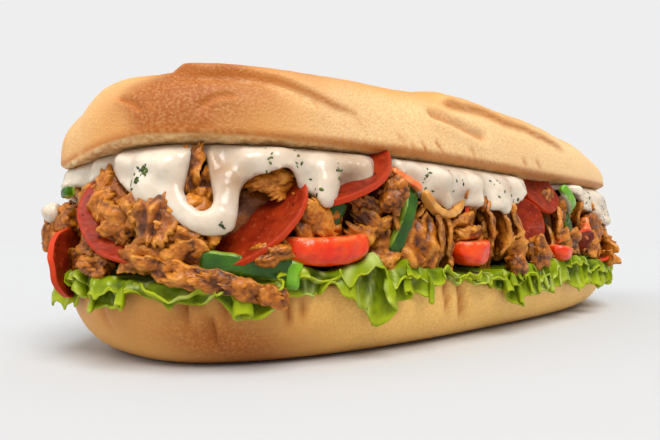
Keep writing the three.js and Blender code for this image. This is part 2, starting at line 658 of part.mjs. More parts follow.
// The core of the heap, which the pieces that show are joined to.
function steakCore(grow) {
  const bearings = evenBearings(52);
  const ringAt = (inset, z) =>
    bearings.map((bearing) => {
      const swell = Math.sin(radians(bearing * 11 + z * 9)) + Math.sin(radians(bearing * 17 - z * 14));
      const spot = wallPoint(bearing, 0.8 * swell - inset + grow);
      return new THREE.Vector3(spot.x, spot.y, z);
    });
  const middle = (HEAP_FLOOR + HEAP_TOP) / 2;
  const levels = [
    [HEAP_FLOOR - grow, CORE_INSET + 4],
    [HEAP_FLOOR + 4, CORE_INSET],
    [middle, CORE_INSET],
    [HEAP_TOP - 5, CORE_INSET + 1],
    [HEAP_TOP + grow, CORE_INSET + 5],
  ];
  return ringBody(
    new THREE.Vector3(0, 0, HEAP_FLOOR - grow),
    levels.map(([z, inset]) => ringAt(inset, z)),
    new THREE.Vector3(0, 0, HEAP_TOP + grow),
  );
}

// ---- assembly ----
// What lies further down the list gives way to what is above it, with the gap between them.
const solids = { roll_top: solidOf(rollTop()), roll_base: solidOf(rollBase()) };
const topCutter = solidOf(grown(rollTop()));
const baseCutter = solidOf(grown(rollBase()));

const leaves = solidOf(leafBody(0)).subtract(baseCutter);
const leafEdges = [-2 * WALL_HALF_LENGTH, ...LEAF_CUTS, 2 * WALL_HALF_LENGTH];
for (let i = 0; i + 1 < leafEdges.length; i++) {
  const [left, right] = [leafEdges[i] + GAP / 2, leafEdges[i + 1] - GAP / 2];
  const reach = new THREE.BoxGeometry(right - left, 4 * WALL_HALF_WIDTH, 4 * LEAF_BED_HEIGHT);
  reach.translate((left + right) / 2, 0, LEAF_BED_HEIGHT);
  solids[`lettuce_${i + 1}`] = mainBody(leaves.intersect(solidOf(reach)));
}

solids.cheese = solidOf(cheeseBody(0));

const fixed = [topCutter, baseCutter, solidOf(leafBody(GAP)), solidOf(cheeseBody(GAP))];
let taken = fixed.reduce((all, next) => all.add(next));
const coreCutter = solidOf(steakCore(GAP));
const kindOf = (item) => item.kind ?? item.name.split("_")[0];
const backToppings = onTheBack(TOPPINGS.filter((topping) => !FRONT_ONLY.includes(topping.name)));
for (const topping of [...TOPPINGS, ...backToppings]) {
  const shape = SHAPES[kindOf(topping)];
  const solid = laid(shape(topping.size, 0), topping).subtract(taken).subtract(coreCutter);
  solids[topping.name] = mainBody(solid);
  taken = taken.add(laid(shape(topping.size, GAP), topping));
}

let heap = solidOf(steakCore(0));
const joinPieces = (pieces, mostCut) => {
  for (const [i, piece] of pieces.entries()) {
    const solid = laid(SHAPES[piece.kind](piece.size, i), piece);
    if (solid.intersect(taken).volume() > mostCut * solid.volume()) continue;
    heap = heap.add(solid.subtract(taken));
  }
};
joinPieces(STEAK_PIECES, MOST_TRIMMED);
joinPieces(smallPieces(), MOST_CROSSING);
solids.steak = mainBody(heap);

// ---- scene ----
const LOOKS = {
  roll: { color: COLOURS.crust, roughness: 0.6 },
  lettuce: { color: COLOURS.leaf, roughness: 0.45 },
  blob: { color: COLOURS.cheese, roughness: 0.35 },
};

const sandwich = new THREE.Group();
sandwich.name = "cheesesteak";
for (const [name, solid] of Object.entries(solids)) {
  const kind = name.split("_")[0];
  const look = LOOKS[kind] ?? { color: COLOURS[kind], roughness: 0.4 };
  const mesh = new THREE.Mesh(geometryFrom(solid), new THREE.MeshStandardMaterial({ ...look, metalness: 0 }));
  mesh.name = name;
  sandwich.add(mesh);
}

export default sandwich;
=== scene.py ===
import bisect
import math
import random

import bmesh
import bpy
from bpy.props import FloatProperty, FloatVectorProperty, IntProperty, PointerProperty
from bpy.types import Operator, Panel, PropertyGroup
from mathutils import Matrix, Vector, noise
from mathutils.bvhtree import BVHTree


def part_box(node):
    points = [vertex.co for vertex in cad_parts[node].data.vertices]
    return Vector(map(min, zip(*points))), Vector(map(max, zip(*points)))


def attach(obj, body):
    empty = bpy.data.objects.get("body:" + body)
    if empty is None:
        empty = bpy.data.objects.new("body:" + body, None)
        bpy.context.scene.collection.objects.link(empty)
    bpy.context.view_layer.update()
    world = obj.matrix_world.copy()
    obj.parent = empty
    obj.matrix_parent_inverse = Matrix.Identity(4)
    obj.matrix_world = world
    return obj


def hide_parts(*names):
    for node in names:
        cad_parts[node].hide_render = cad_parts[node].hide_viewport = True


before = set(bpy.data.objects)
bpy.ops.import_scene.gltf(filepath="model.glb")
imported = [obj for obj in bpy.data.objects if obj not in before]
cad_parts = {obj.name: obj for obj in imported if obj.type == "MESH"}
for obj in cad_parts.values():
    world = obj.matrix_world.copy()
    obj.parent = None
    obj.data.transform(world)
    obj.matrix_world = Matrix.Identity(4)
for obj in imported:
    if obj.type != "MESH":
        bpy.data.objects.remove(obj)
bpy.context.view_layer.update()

bl_info = {
    "name": "Cheesesteak",
    "version": (1, 0, 0),
    "blender": (4, 5, 0),
    "location": "View3D > Sidebar > Cheesesteak",
    "description": "Bakes a filled cheesesteak roll around its packed solids",
    "category": "Add Mesh",
}

# Everything is worked out in millimetres and scaled down once, when a piece is finished.
MM = 0.001

# The filling's outer face, where toppings are laid: a superellipse seen from above. Places on it
# are given as a bearing (0 is the right tip, 90 the back, 180 the left tip and 270 the front), a
# height and how far out of the face they lie.
WALL_HALF_LENGTH = 126
WALL_HALF_WIDTH = 50.5
WALL_POWER = 2.8

# The upper half: its plan, how its rim and crown rise and fall to the tips, and how square the
# crown's sections are there.
TOP_PLAN_POWER = 2.8
LEFT_TIP_DROP = 4.5
RIGHT_TIP_RISE = 4.5
LEFT_CROWN_FALL = 0.6
RIGHT_CROWN_FALL = 2.6
LEFT_CROWN_POWER = 3.7
RIGHT_CROWN_POWER = 2.5
CRUST_LIP = 0.7  # how far the crust's edge stands above the cut
CRUMB_BULGE = 1.1  # how far the crumb sinks behind that edge

BASE_HALF_LENGTH = 126
BASE_HALF_WIDTH = 51
BASE_HEIGHT = 20
BASE_INSET = 16  # how far the foot lies inside the rim

# How far the loose pieces may stand out at the front and at the back.
FRONT_LIMIT = -55.8
BACK_LIMIT = 55.1

CORE_INSET = 4.6  # how far the heap's core lies behind the filling's face
HEAP_FLOOR = 22.8
HEAP_TOP = 46.5
LEAF_BED_HEIGHT = 21.3  # the cut face of the lower half, on which the leaves lie
CHEESE_BED = 1.9  # how far the cheese sheet's middle lies under the rim


# ---- small maths ----


def clamp(value, low=0.0, high=1.0):
    return min(max(value, low), high)


def eased(value, low, high):
    """From 0 at low to 1 at high, with soft ends."""
    share = clamp((value - low) / (high - low))
    return share * share * (3 - 2 * share)


def bell(distance, width):
    """1 in the middle, and soon 0 further away than the width."""
    return math.exp(-((distance / width) ** 2))


def mixed(a, b, share):
    return a + (b - a) * share


def signed_power(value, power):
    return math.copysign(abs(value) ** power, value)


def arc_between(a, b):
    """The shorter way from bearing b to bearing a."""
    return (a - b + 540) % 360 - 180


def wobble(point, size, seed=0.0):
    """Smooth noise from about -1 to 1, whose lumps are about size across."""
    return 1.4 * noise.noise(Vector(point) / size + Vector((seed * 7.3, seed * 3.1, seed * 5.7)))


def smooth_table(table, at):
    """A value read from (place, value) pairs, with level tops at the pairs."""
    places = [row[0] for row in table]
    i = clamp(bisect.bisect(places, at) - 1, 0, len(table) - 2)
    (low, before), (high, after) = table[int(i)], table[int(i) + 1]
    return mixed(before, after, eased(at, low, high))


def plan_point(bearing, half_length, half_width, power):
    """A point of a superellipse: 0 is the right tip, 180 the left one, 270 the front."""
    angle = math.radians(bearing)
    return Vector(
        (
            half_length * signed_power(math.cos(angle), 2 / power),
            half_width * signed_power(math.sin(angle), 2 / power),
        )
    )


def wall_normal(edge):
    """Which way the filling's face looks at a point of its plan."""
    return Vector(
        (
            signed_power(edge.x / WALL_HALF_LENGTH, WALL_POWER - 1) / WALL_HALF_LENGTH,
            signed_power(edge.y / WALL_HALF_WIDTH, WALL_POWER - 1) / WALL_HALF_WIDTH,
        )
    ).normalized()


def wall_point(bearing, out):
    """The filling's face at a bearing, or a place so far out of it."""
    edge = plan_point(bearing, WALL_HALF_LENGTH, WALL_HALF_WIDTH, WALL_POWER)
    return edge + wall_normal(edge) * out


# The way round the filling's face, walked in short steps.
WALK_STEPS = 1440
WALK = [0.0]
for step in range(1, WALK_STEPS + 1):
    here = wall_point(360 * step / WALK_STEPS, 0)
    before = wall_point(360 * (step - 1) / WALK_STEPS, 0)
    WALK.append(WALK[-1] + (here - before).length)
WALL_GIRTH = WALK[-1]


def even_bearing(share):
    """The bearing that lies this share of the way round the filling, by length and not by angle."""
    wanted = (share % 1) * WALL_GIRTH
    i = min(bisect.bisect(WALK, wanted) - 1, WALK_STEPS - 1)
    part = (wanted - WALK[i]) / (WALK[i + 1] - WALK[i])
    return 360 * (math.floor(share) + (i + part) / WALK_STEPS)


def even_place(bearing):
    """How far round the filling a bearing lies, in millimetres."""
    part = bearing % 360 / 360 * WALK_STEPS
    i = min(int(part), WALK_STEPS - 1)
    return WALL_GIRTH * math.floor(bearing / 360) + mixed(WALK[i], WALK[i + 1], part - i)


def even_share(bearing):
    """How far round the filling a bearing lies, as a share."""
    return even_place(bearing) / WALL_GIRTH


def laid(at, turned=(0, 0, 0)):
    """Places a flat piece: right along the filling's face, up, and out of it. turned is its roll in
    that face, the lean of its top towards the viewer and its swing like a door, in degrees."""
    bearing, height, out = at
    roll, lean, swing = (math.radians(turn) for turn in turned)
    spot = wall_point(bearing, out)
    normal = wall_normal(wall_point(bearing, 0))
    outward = Vector((normal.x, normal.y, 0))
    up = Vector((0, 0, 1))
    right = up.cross(outward)
    place = Matrix((right, up, outward)).transposed().to_4x4()
    place.translation = (spot.x, spot.y, height)
    turns = Matrix.Rotation(swing, 4, "Y") @ Matrix.Rotation(lean, 4, "X") @ Matrix.Rotation(roll, 4, "Z")
    return place @ turns


def held_in(point):
    """Keeps a loose piece from standing out further than the sandwich's own front and back."""
    point.y = clamp(point.y, FRONT_LIMIT, BACK_LIMIT)
    return point


# ---- meshes ----


def shaped(bm, form, marks, shape, **settings):
    """Makes a plain shape. form takes each of its points, and gives the point's place and marks."""
    layers = [bm.verts.layers.float.get(mark) or bm.verts.layers.float.new(mark) for mark in marks]
    for vert in shape(bm, **settings)["verts"]:
        vert.co, *values = form(vert.co.copy())
        for layer, value in zip(layers, values):
            vert[layer] = value


def moulded(bm, faces, form, marks=()):
    """Shapes a ball with poles. faces says how many it has round it, and from pole to pole."""
    around, along = faces
    shaped(bm, form, marks, bmesh.ops.create_uvsphere, u_segments=around, v_segments=along, radius=1)


def lump(bm, fineness, form, marks):
    """Shapes a ball whose faces are all about one size, and four times as many with each fineness."""
    shaped(bm, form, marks, bmesh.ops.create_icosphere, subdivisions=fineness, radius=1)


def bearing_of(ball):
    """The bearing of a point of a ball, with the columns of faces spread evenly round the filling."""
    return even_bearing(math.degrees(math.atan2(ball.y, ball.x)) % 360 / 360)


def level_of(ball):
    """How high a point of a ball lies: -90 at its lower pole, 90 at its upper one."""
    return math.degrees(math.asin(clamp(ball.z, -1, 1)))


def finished(name, bm, material, nodes=()):
    """Turns a mesh in millimetres into a piece that rides on the sandwich and stands for its nodes."""
    bmesh.ops.recalc_face_normals(bm, faces=bm.faces)
    bmesh.ops.scale(bm, vec=(MM, MM, MM), verts=bm.verts)
    for face in bm.faces:
        face.smooth = True
    mesh = bpy.data.meshes.new(name)
    bm.to_mesh(mesh)
    bm.free()
    mesh.materials.append(material)
    piece = bpy.data.objects.new(name, mesh)
    bpy.context.scene.collection.objects.link(piece)
    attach(piece, "root")
    if nodes:
        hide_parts(*nodes)
    return piece


# ---- settings ----


def length_setting(name, description, default):
    return FloatProperty(name=name, description=description, default=default, unit="LENGTH")


def strength_setting(name, description, default):
    return FloatProperty(name=name, description=description, default=default, min=0.0)


def colour_setting(name, description, default):
    colour = linear(default)[:3]
    return FloatVectorProperty(name=name, description=description, default=colour, subtype="COLOR")


def count_setting(name, description, default):
    return IntProperty(name=name, description=description, default=default, min=0)


# ---- materials ----


def linear(colour):
    """An sRGB hex colour as the linear RGBA that a shader takes."""
    parts = (int(colour[i : i + 2], 16) / 255 for i in (1, 3, 5))
    return (*(p / 12.92 if p <= 0.04045 else ((p + 0.055) / 1.055) ** 2.4 for p in parts), 1.0)


def add_node(tree, kind, links=None, **settings):
    """Adds one node with its settings, and links or sets its inputs."""
    made = tree.nodes.new(kind)
    for setting, value in settings.items():
        setattr(made, setting, value)
    for socket, value in (links or {}).items():
        if isinstance(value, bpy.types.NodeSocket):
            tree.links.new(value, made.inputs[socket])
        else:
            made.inputs[socket].default_value = value
    return made


def new_finish(name, inputs, marks=(), grains=None, relief=None):
    """A material, its tree, its shader and its masks by name, with the place in millimetres among
    them. Marks are read from the mesh. A grain is noise: how big its spots are in millimetres, the
    levels from which it counts and counts in full, and its detail. relief names the grain that
    stands up, and by how many millimetres."""
    material = bpy.data.materials.new(name)
    material.use_nodes = True
    tree = material.node_tree
    shader = tree.nodes["Principled BSDF"]
    for socket, value in inputs.items():
        shader.inputs[socket].default_value = value
    masks = {}
    for mark in marks:
        masks[mark] = add_node(tree, "ShaderNodeAttribute", attribute_name=mark).outputs["Fac"]
    here = add_node(tree, "ShaderNodeTexCoord").outputs["Object"]
    in_mm = {0: here, 1: (1 / MM,) * 3}
    where = add_node(tree, "ShaderNodeVectorMath", in_mm, operation="MULTIPLY").outputs[0]
    masks["where"] = where
    for grain, (size, low, high, detail) in (grains or {}).items():
        noisy = add_node(tree, "ShaderNodeTexNoise", {"Vector": where, "Scale": 1 / size, "Detail": detail})
        levels = {0: noisy.outputs[0], 1: low, 2: high}
        masks[grain] = add_node(tree, "ShaderNodeMapRange", levels).outputs[0]
    if relief:
        grain, depth = relief
        dents = {"Height": masks[grain], "Distance": depth * MM, "Strength": 1.0}
        bump = add_node(tree, "ShaderNodeBump", dents)
        tree.links.new(bump.outputs[0], shader.inputs["Normal"])
    return material, tree, shader, masks


def coloured(tree, colour, *layers):
    """Lays colours over one another, each as far as its mask and its strength say."""
    for mask, over, strength in layers:
        share = add_node(tree, "ShaderNodeMath", {0: mask, 1: strength}, operation="MULTIPLY").outputs[0]
        colour = add_node(tree, "ShaderNodeMix", {0: share, 6: colour, 7: over}, data_type="RGBA").outputs[2]
    return colour


def see_through(weight, red, green, blue):
    """Shader inputs of a finish that lets light in: how much, and how far each colour travels in
    millimetres."""
    return {
        "Subsurface Weight": weight,
        "Subsurface Radius": (red * MM, green * MM, blue * MM),
        "Subsurface Scale": 1.0,
    }


def crust_finish(bread, golden_colour, pale_and_lit_colour):
    """Baked wheat crust: dry and satin, mottled where flour and steam left fine grains, darker on
    ridges that met the heat, and pale where the dough tore open. The dark of its slits, its creases
    and the band under its rim is painted shade, its browned patches are partly painted shade, and
    its pale patches partly painted light."""
    material, tree, shader, masks = new_finish(
        "baked wheat crust",
        {"Roughness": 0.5, "Specular IOR Level": 0.3, **see_through(0.1, 2, 1, 0.5)},
        marks=CRUST_MARKS,
        grains={
            "broad": (26, 0.3, 0.75, 3),
            "flecks": (0.7, 0.46, 0.66, 2),
            "grain": (0.7, 0.38, 0.66, 4),
            "pores": (1.6, 0.35, 0.62, 3),
            "pits": (0.6, 0.2, 0.8, 4),
        },
        relief=("pits", 0.15),
    )
    uneven = add_node(tree, "ShaderNodeMath", {0: masks["broad"], 1: 0.35}, operation="MULTIPLY").outputs[0]
    pale_and_lit = add_node(tree, "ShaderNodeMath", {0: uneven, 1: masks["pale"]}, use_clamp=True).outputs[0]
    crumb = coloured(tree, linear("#C08A50"), (masks["pores"], linear("#DDB884"), 1))
    crust = coloured(
        tree,
        (*golden_colour, 1),
        # pale: partly crust that baked less, partly painted light on the front flank, the left tip and the
        # right of the lower half
        (pale_and_lit, (*pale_and_lit_colour, 1), 1),
        # browned patches: partly crust that browned more, partly painted shade
        (masks["browned"], (*bread.browned_and_shaded_colour, 1), 1),
        (masks["flecks"], (*pale_and_lit_colour, 1), 0.2),
        (masks["grain"], linear("#B4661C"), 0.3),
        # baked: the ears' edges that met the heat, and painted shade in slits, creases and under the rim
        (masks["baked"], linear("#B4641A"), 1),
        (masks["torn"], crumb, 1),
    )
    tree.links.new(crust, shader.inputs["Base Color"])
    return material


# ---- the roll ----

CRUST_MARKS = ("torn", "baked", "browned", "pale")
TOP_FACES = (220, 300)  # round a section, and along the roll
BASE_FACES = (340, 96)  # round the plan, and from the foot over the rim

# Knife cuts that opened in the oven, each along places on the crust. The crust behind a cut baked
# up into an ear. ear and torn are read by how far along the cut a place lies: the ear's height,
# and how much pale crumb shows in front of it.
SCORES = [
    {
        "line": [
            (-117.3, -19.0, 67.4),
            (-116.4, -22.7, 67.0),
            (-114.2, -27.0, 66.3),
            (-110.5, -29.7, 66.6),
            (-107.3, -32.2, 66.5),
            (-103.8, -34.3, 66.5),
            (-99.6, -37.3, 65.6),
            (-96.3, -39.7, 64.2),
            (-92.8, -41.5, 62.9),
            (-87.6, -43.6, 60.9),
            (-82.5, -45.0, 59.8),
            (-80.1, -45.7, 56.6),
            (-78.6, -46.0, 54.3),
        ],
        "ear": [(0, 2.3), (26, 1.9), (40, 1.0), (50, 0.7)],
        "torn": [(0, 0), (11, 0), (20, 0.75), (34, 0.9), (42, 0.5), (50, 0.2)],
    },
    {
        "line": [
            (-47.1, -46.0, 67.8),
            (-39.9, -46.4, 67.7),
            (-29.4, -46.2, 68.2),
            (-24.6, -46.5, 67.9),
            (-19.8, -46.7, 67.7),
            (-14.6, -47.7, 66.6),
            (-8.4, -47.6, 66.5),
            (-0.5, -47.6, 66.3),
            (6.0, -48.2, 65.3),
            (16.1, -48.5, 64.5),
            (24.4, -48.9, 63.4),
            (34.4, -49.3, 61.9),
        ],
        "ear": [(0, 2.2), (14, 1.8), (56, 1.3), (76, 0.8)],
        "torn": [(0, 0), (44, 0.1), (56, 0.8), (68, 0.75), (78, 0.2)],
    },
    {
        "line": [(14, 30, 72.4), (40, 22, 73.2), (68, 10, 72.4), (98, -6, 70.2)],
        "ear": [(0, 1.8), (80, 1.6)],
        "torn": [(0, 0), (20, 0.8), (70, 0.8), (86, 0.2)],
    },
    {
        "line": [(-92, 38, 68.6), (-66, 32, 72.2), (-38, 20, 74.6), (-12, 6, 74.9)],
        "ear": [(0, 1.7), (80, 1.6)],
        "torn": [(0, 0), (20, 0.8), (70, 0.8), (86, 0.2)],
    },
]
EAR_REACH = 12  # how far behind a score its ear sinks back into the crust
GROOVE = 0.8  # depth of the line in front of an ear
# Short slits and creases: places along each, half width, depth, and how dark it is painted, as shade in the
# crease.
SLITS = [
    (
        [(-126.3, -13.0, 61.7), (-126.1, -16.6, 60.4), (-125.6, -19.3, 58.9), (-124.7, -21.5, 57.3)],
        0.55,
        1.6,
        1.0,
    ),
    ([(-123.9, -22.3, 60.0), (-123.6, -23.3, 57.3)], 0.5, 1.0, 0.8),
    (
        [(-116.6, -30.8, 58.0), (-115.6, -31.5, 59.2), (-112.9, -33.0, 60.9), (-109.6, -34.8, 61.3)],
        0.6,
        1.2,
        0.7,
    ),
    ([(-116.2, -31.1, 58.6), (-115.4, -31.7, 57.4)], 1.5, 2.6, 0.95),
    (
        [(-55.2, -47.7, 64.5), (-45.6, -49.1, 63.1), (-35.5, -50.1, 61.0), (-29.0, -50.4, 59.9)],
        1.6,
        2.2,
        0.55,
    ),
    ([(-69.0, -47.6, 57.0), (-65.0, -48.2, 53.6)], 0.9, 0.5, 0.4),
    ([(-63.9, -48.4, 55.2), (-61.5, -48.8, 52.6)], 0.55, 1.1, 0.9),
    ([(-60.2, -48.8, 55.8), (-56.5, -49.3, 52.6)], 0.55, 1.1, 0.95),
    ([(-54.5, -49.3, 56.6), (-50.5, -49.7, 53.2)], 0.55, 1.1, 0.9),
    ([(-38.6, -50.3, 57.0), (-35.0, -50.5, 53.6)], 0.9, 0.5, 0.5),
    ([(-7.0, -51.0, 56.6), (-2.5, -51.0, 53.6)], 1.0, 0.8, 0.6),
    ([(3.2, -50.9, 57.2), (8.2, -51.0, 53.8)], 1.0, 0.8, 0.6),
    ([(44, 49, 60.0), (52, 48, 56.0)], 1.0, 0.7, 0.4),
    ([(-40, 49, 62.0), (-30, 50, 58.0)], 1.4, 1.0, 0.4),
]
# Where the dough rose higher: place, reach, height.
SWELLS = [
    ((-119, 2, 70), 12, 2.4),
    ((-22, -38, 71), 24, 1.6),
    ((18, -38, 71), 24, 2.0),
    ((52, -36, 70), 20, 1.8),
    ((-127, 11, 62), 8, -1.8),
]
# Patches painted darker, partly crust that browned more and partly painted shade at the front of
# the left end: place, reach, strength.
BROWNED_AND_SHADED = [
    ((-121, -26, 59), 12, 1.5),
    ((-117, -20, 67), 9, 0.2),
    ((-110, -34, 60), 10, 0.7),
    ((-90, -38, 66), 12, 0.3),
    ((-100, -22, 71), 20, 0.12),
    ((-62, -18, 74), 26, 0.16),
    ((-20, -30, 74), 20, 0.2),
    ((-60, 42, 66), 28, 0.5),
    ((70, 44, 62), 30, 0.45),
    ((118, -14, 62), 20, 0.6),
    ((-104, -16, 74), 16, 0.1),
    ((10, 20, 73), 34, 0.3),
]
PALE_AND_LIT_END = (-128, 4, 62)  # the left tip, painted paler: partly crust that baked least, partly painted light from the left


def rim_height(bread, x, y):
    """Height of the crust's lower edge: it rises towards the right tip and dips round the left one."""
    share = x / (bread.half_length / MM)
    if share > 0:
        return bread.rim_height / MM + RIGHT_TIP_RISE * share**2
    return bread.rim_height / MM - LEFT_TIP_DROP * share**12 * clamp((y + 22) / 34)


def nearest_on_line(line, here, normal):
    """How far along a line the nearest place lies, how far behind the line here is, and its length."""
    best = None
    walked = 0.0
    for start, end in zip(line, line[1:]):
        run = end - start
        length = run.length
        run = run / length
        past = here - start
        held = clamp(past.dot(run), 0, length)
        away = (past - run * held).length
        if best is None or away < best[0]:
            best = (away, walked + held, math.copysign(away, run.cross(past).dot(normal)))
        walked += length
    return best[1], best[2], walked


def lines_of(table):
    """The places along each line, as vectors."""
    return [[Vector(place) for place in line] for line in table]


SCORE_LINES = lines_of([score["line"] for score in SCORES])
SLIT_LINES = lines_of([slit[0] for slit in SLITS])


def crust_marks(here, normal):
    """Relief in millimetres, and how torn, baked, browned and pale the crust is at a place. The baked
    dark of slits is painted shade; browned is partly painted shade, and pale partly painted light.
    """
    height, torn, baked = 0.0, 0.0, 0.0
    for score, line in zip(SCORES, SCORE_LINES):
        along, behind, length = nearest_on_line(line, here, normal)
        if abs(behind) > 3 * EAR_REACH:
            continue
        behind += 0.35 * wobble(here, 4, 2)
        fade = eased(along, -1, 4) * eased(length - along, -1, 14)
        ear = fade * smooth_table(score["ear"], along)
        if behind > 0:
            height += ear * bell(behind, EAR_REACH) * eased(behind, -0.2, 1.5)
        else:
            height -= fade * GROOVE * bell(behind + 1.3, 1.3)
        patch = clamp(0.75 + 0.8 * wobble(here, 5, 4))
        strength = 0.7 * smooth_table(score["torn"], along) * patch
        torn = max(torn, strength * bell(behind + 1.9, 1.4) * eased(-behind, -0.2, 0.8))
        baked = max(baked, fade * 0.8 * bell(behind - 0.3, 0.6))
    for (_, width, depth, dark), line in zip(SLITS, SLIT_LINES):
        along, behind, length = nearest_on_line(line, here, normal)
        if abs(behind) > 4 * width:
            continue
        fade = eased(along, -0.5, 1.6) * eased(length - along, -0.5, 1.6)
        behind += 0.25 * wobble(here, 2.5, 6)
        height += depth * (0.3 * bell(behind + 2 * width, width) - bell(behind, width)) * fade
        # The slit is painted dark, as shade in the crease.
        baked = max(baked, fade * dark * bell(behind, width))
    for place, reach, rise in SWELLS:
        height += rise * bell((here - Vector(place)).length, reach)
    browned = 0.0
    for place, reach, strength in BROWNED_AND_SHADED:
        uneven = 1 + 0.25 * wobble(here, 9, 14)
        browned += strength * bell((here - Vector(place)).length, reach * uneven)
    # The front flank and the left tip are painted paler: partly crust that baked less, partly painted light.
    pale = 0.9 * eased(here.x, -108, -84) * eased(72 - here.z, 0, 9) * eased(-here.y, 10, 36)
    pale += 0.5 * bell((here - Vector(PALE_AND_LIT_END)).length, 15)
    height += 0.4 * wobble(here, 22, 1) + 0.1 * wobble(here, 4, 1)
    return height, clamp(torn), clamp(baked), clamp(browned), clamp(pale)


def top_half_width(bread, x):
    """Half the width of the upper half at a place along it."""
    share = min(abs(x / (bread.half_length / MM)), 1)
    return bread.half_width / MM * (1 - share**TOP_PLAN_POWER) ** (1 / TOP_PLAN_POWER)


def plan_share(bread, x, y):
    """How far out of the middle a place lies: 1 at the upper half's edge."""
    along = abs(x / (bread.half_length / MM)) ** TOP_PLAN_POWER
    across = abs(y / (bread.half_width / MM)) ** TOP_PLAN_POWER
    return min((along + across) ** (1 / TOP_PLAN_POWER), 1)


def bare_crust(bread, x, angle):
    """The crust before it opened and browned: a place, and its height as a share of the crown's."""
    y = -top_half_width(bread, x) * signed_power(math.cos(math.radians(angle)), 0.72)
    rightness = 1 / (1 + math.exp(-x / 30))
    power = mixed(LEFT_CROWN_POWER, RIGHT_CROWN_POWER, rightness)
    fall = RIGHT_CROWN_FALL if x > 0 else LEFT_CROWN_FALL
    crown = bread.crown_height / MM - fall * (x / (bread.half_length / MM)) ** 2
    rise = (1 - plan_share(bread, x, y) ** power) ** (1 / power)
    height = rim_height(bread, x, y) + CRUST_LIP * (1 - rise) + crown * rise
    return Vector((x, y, height)), rise


def top_form(bread):
    """The upper half: each ring of the ball becomes a section, over the crust and back along the cut."""
    crust_share = 0.72  # of the way round a section
    sections = {}
    steps = 90

    def angle_at(x, share):
        """The angle that lies this share of the way over the crust, by length."""
        if x not in sections:
            places = [bare_crust(bread, x, 180 * i / steps)[0] for i in range(steps + 1)]
            walked = [0.0]
            for a, b in zip(places, places[1:]):
                walked.append(walked[-1] + (b - a).length)
            sections[x] = walked
        walked = sections[x]
        wanted = share * walked[-1]
        i = int(clamp(bisect.bisect(walked, wanted) - 1, 0, steps - 1))
        gap = walked[i + 1] - walked[i]
        return 180 * (i + (wanted - walked[i]) / max(gap, 1e-9)) / steps

    def form(ball):
        x = round(bread.half_length / MM * ball.z, 4)
        if math.hypot(ball.x, ball.y) < 1e-6:
            return Vector((x, 0, rim_height(bread, x, 0) + 0.6)), 0.0, 0.4, 0.2, 0.5
        turn = math.degrees(math.atan2(ball.y, ball.x)) % 360 / 360
        if turn <= crust_share:
            place, rise = bare_crust(bread, x, angle_at(x, turn / crust_share))
            normal = Vector(
                (
                    2 * x / (bread.half_length / MM) ** 2,
                    2 * place.y / (bread.half_width / MM) ** 2,
                    max(rise, 0.05) / (bread.crown_height / MM),
                )
            ).normalized()
            height, torn, baked, browned, pale = crust_marks(place, normal)
            edge = 0.7 * bell(rise, 0.05)
            place = place + normal * height * min(rise * 1.8, 1)
            return place, torn * min(rise * 3, 1), max(baked, edge), browned, pale
        across = mixed(1, -1, (turn - crust_share) / (1 - crust_share))
        half_width = top_half_width(bread, x)
        y = half_width * signed_power(across, 0.6)
        inset = half_width - abs(y)
        sunk = (CRUST_LIP + CRUMB_BULGE) * (1 - math.exp(-inset / 2.2))
        uneven = 0.25 * wobble((x, y, 0), 3, 8) * eased(inset, 0.2, 3)
        height = rim_height(bread, x, y) + CRUST_LIP - sunk + uneven
        # The crust colour reaches further under the rim towards the right, and with it the darker band under
        # the rim, which is painted shade under the crust's edge.
        wrap_and_shade = 2.0 * eased(x, -112, -60)
        crumb = eased(inset, 0.2 + wrap_and_shade, 1.4 + wrap_and_shade)
        return Vector((x, y, height)), crumb, 0.75 * bell(inset, 0.8 + wrap_and_shade), 0.0, 0.3

    return form


# Creases down the flank of the lower half: bearing, half width and depth, slant in degrees of
# bearing from the rim to the foot, and how far down it runs as a share.
BASE_CREASES = [
    (203.5, 0.8, 1.6, 3.0, 0.75),
    (207.5, 0.7, 2.0, 3.6, 0.95),
    (212, 0.8, 0.9, 3.0, 0.7),
    (223.5, 0.8, 1.7, 3.2, 0.6),
    (226.2, 0.7, 1.1, 3.0, 0.5),
    (243.5, 0.8, 0.6, 2.0, 0.5),
    (253.5, 0.7, 0.9, 3.6, 0.6),
    (256.5, 0.8, 1.3, 4.0, 0.7),
    (181, 0.9, 0.6, 2.0, 0.6),
    (60, 1.2, 1.6, 3.0, 0.8),
    (64, 1.0, 1.1, 3.0, 0.6),
    (118, 1.1, 1.5, 4.0, 0.9),
    (96, 1.0, 0.8, 4.0, 0.7),
]
# The lower half is shaped from a ball: the levels on it, in degrees, that become the edge of the
# flat foot and the rim, and how far inside the widest place the rim lies.
BASE_FOOT = -72
BASE_RIM = 50
RIM_INSET = 0.6
# Patches of the lower half painted darker, partly crust that browned more and partly painted
# shade at the front of the left end: bearing, height, reach in millimetres, strength.
BASE_BROWNED_AND_SHADED = [
    (188, 12, 12, 0.45),
    (205, 8, 12, 0.5),
    (216, 6, 14, 0.6),
    (224, 0, 12, 0.3),
    (250, -4, 14, 0.2),
    (40, 6, 30, 0.5),
    (120, 6, 34, 0.6),
]


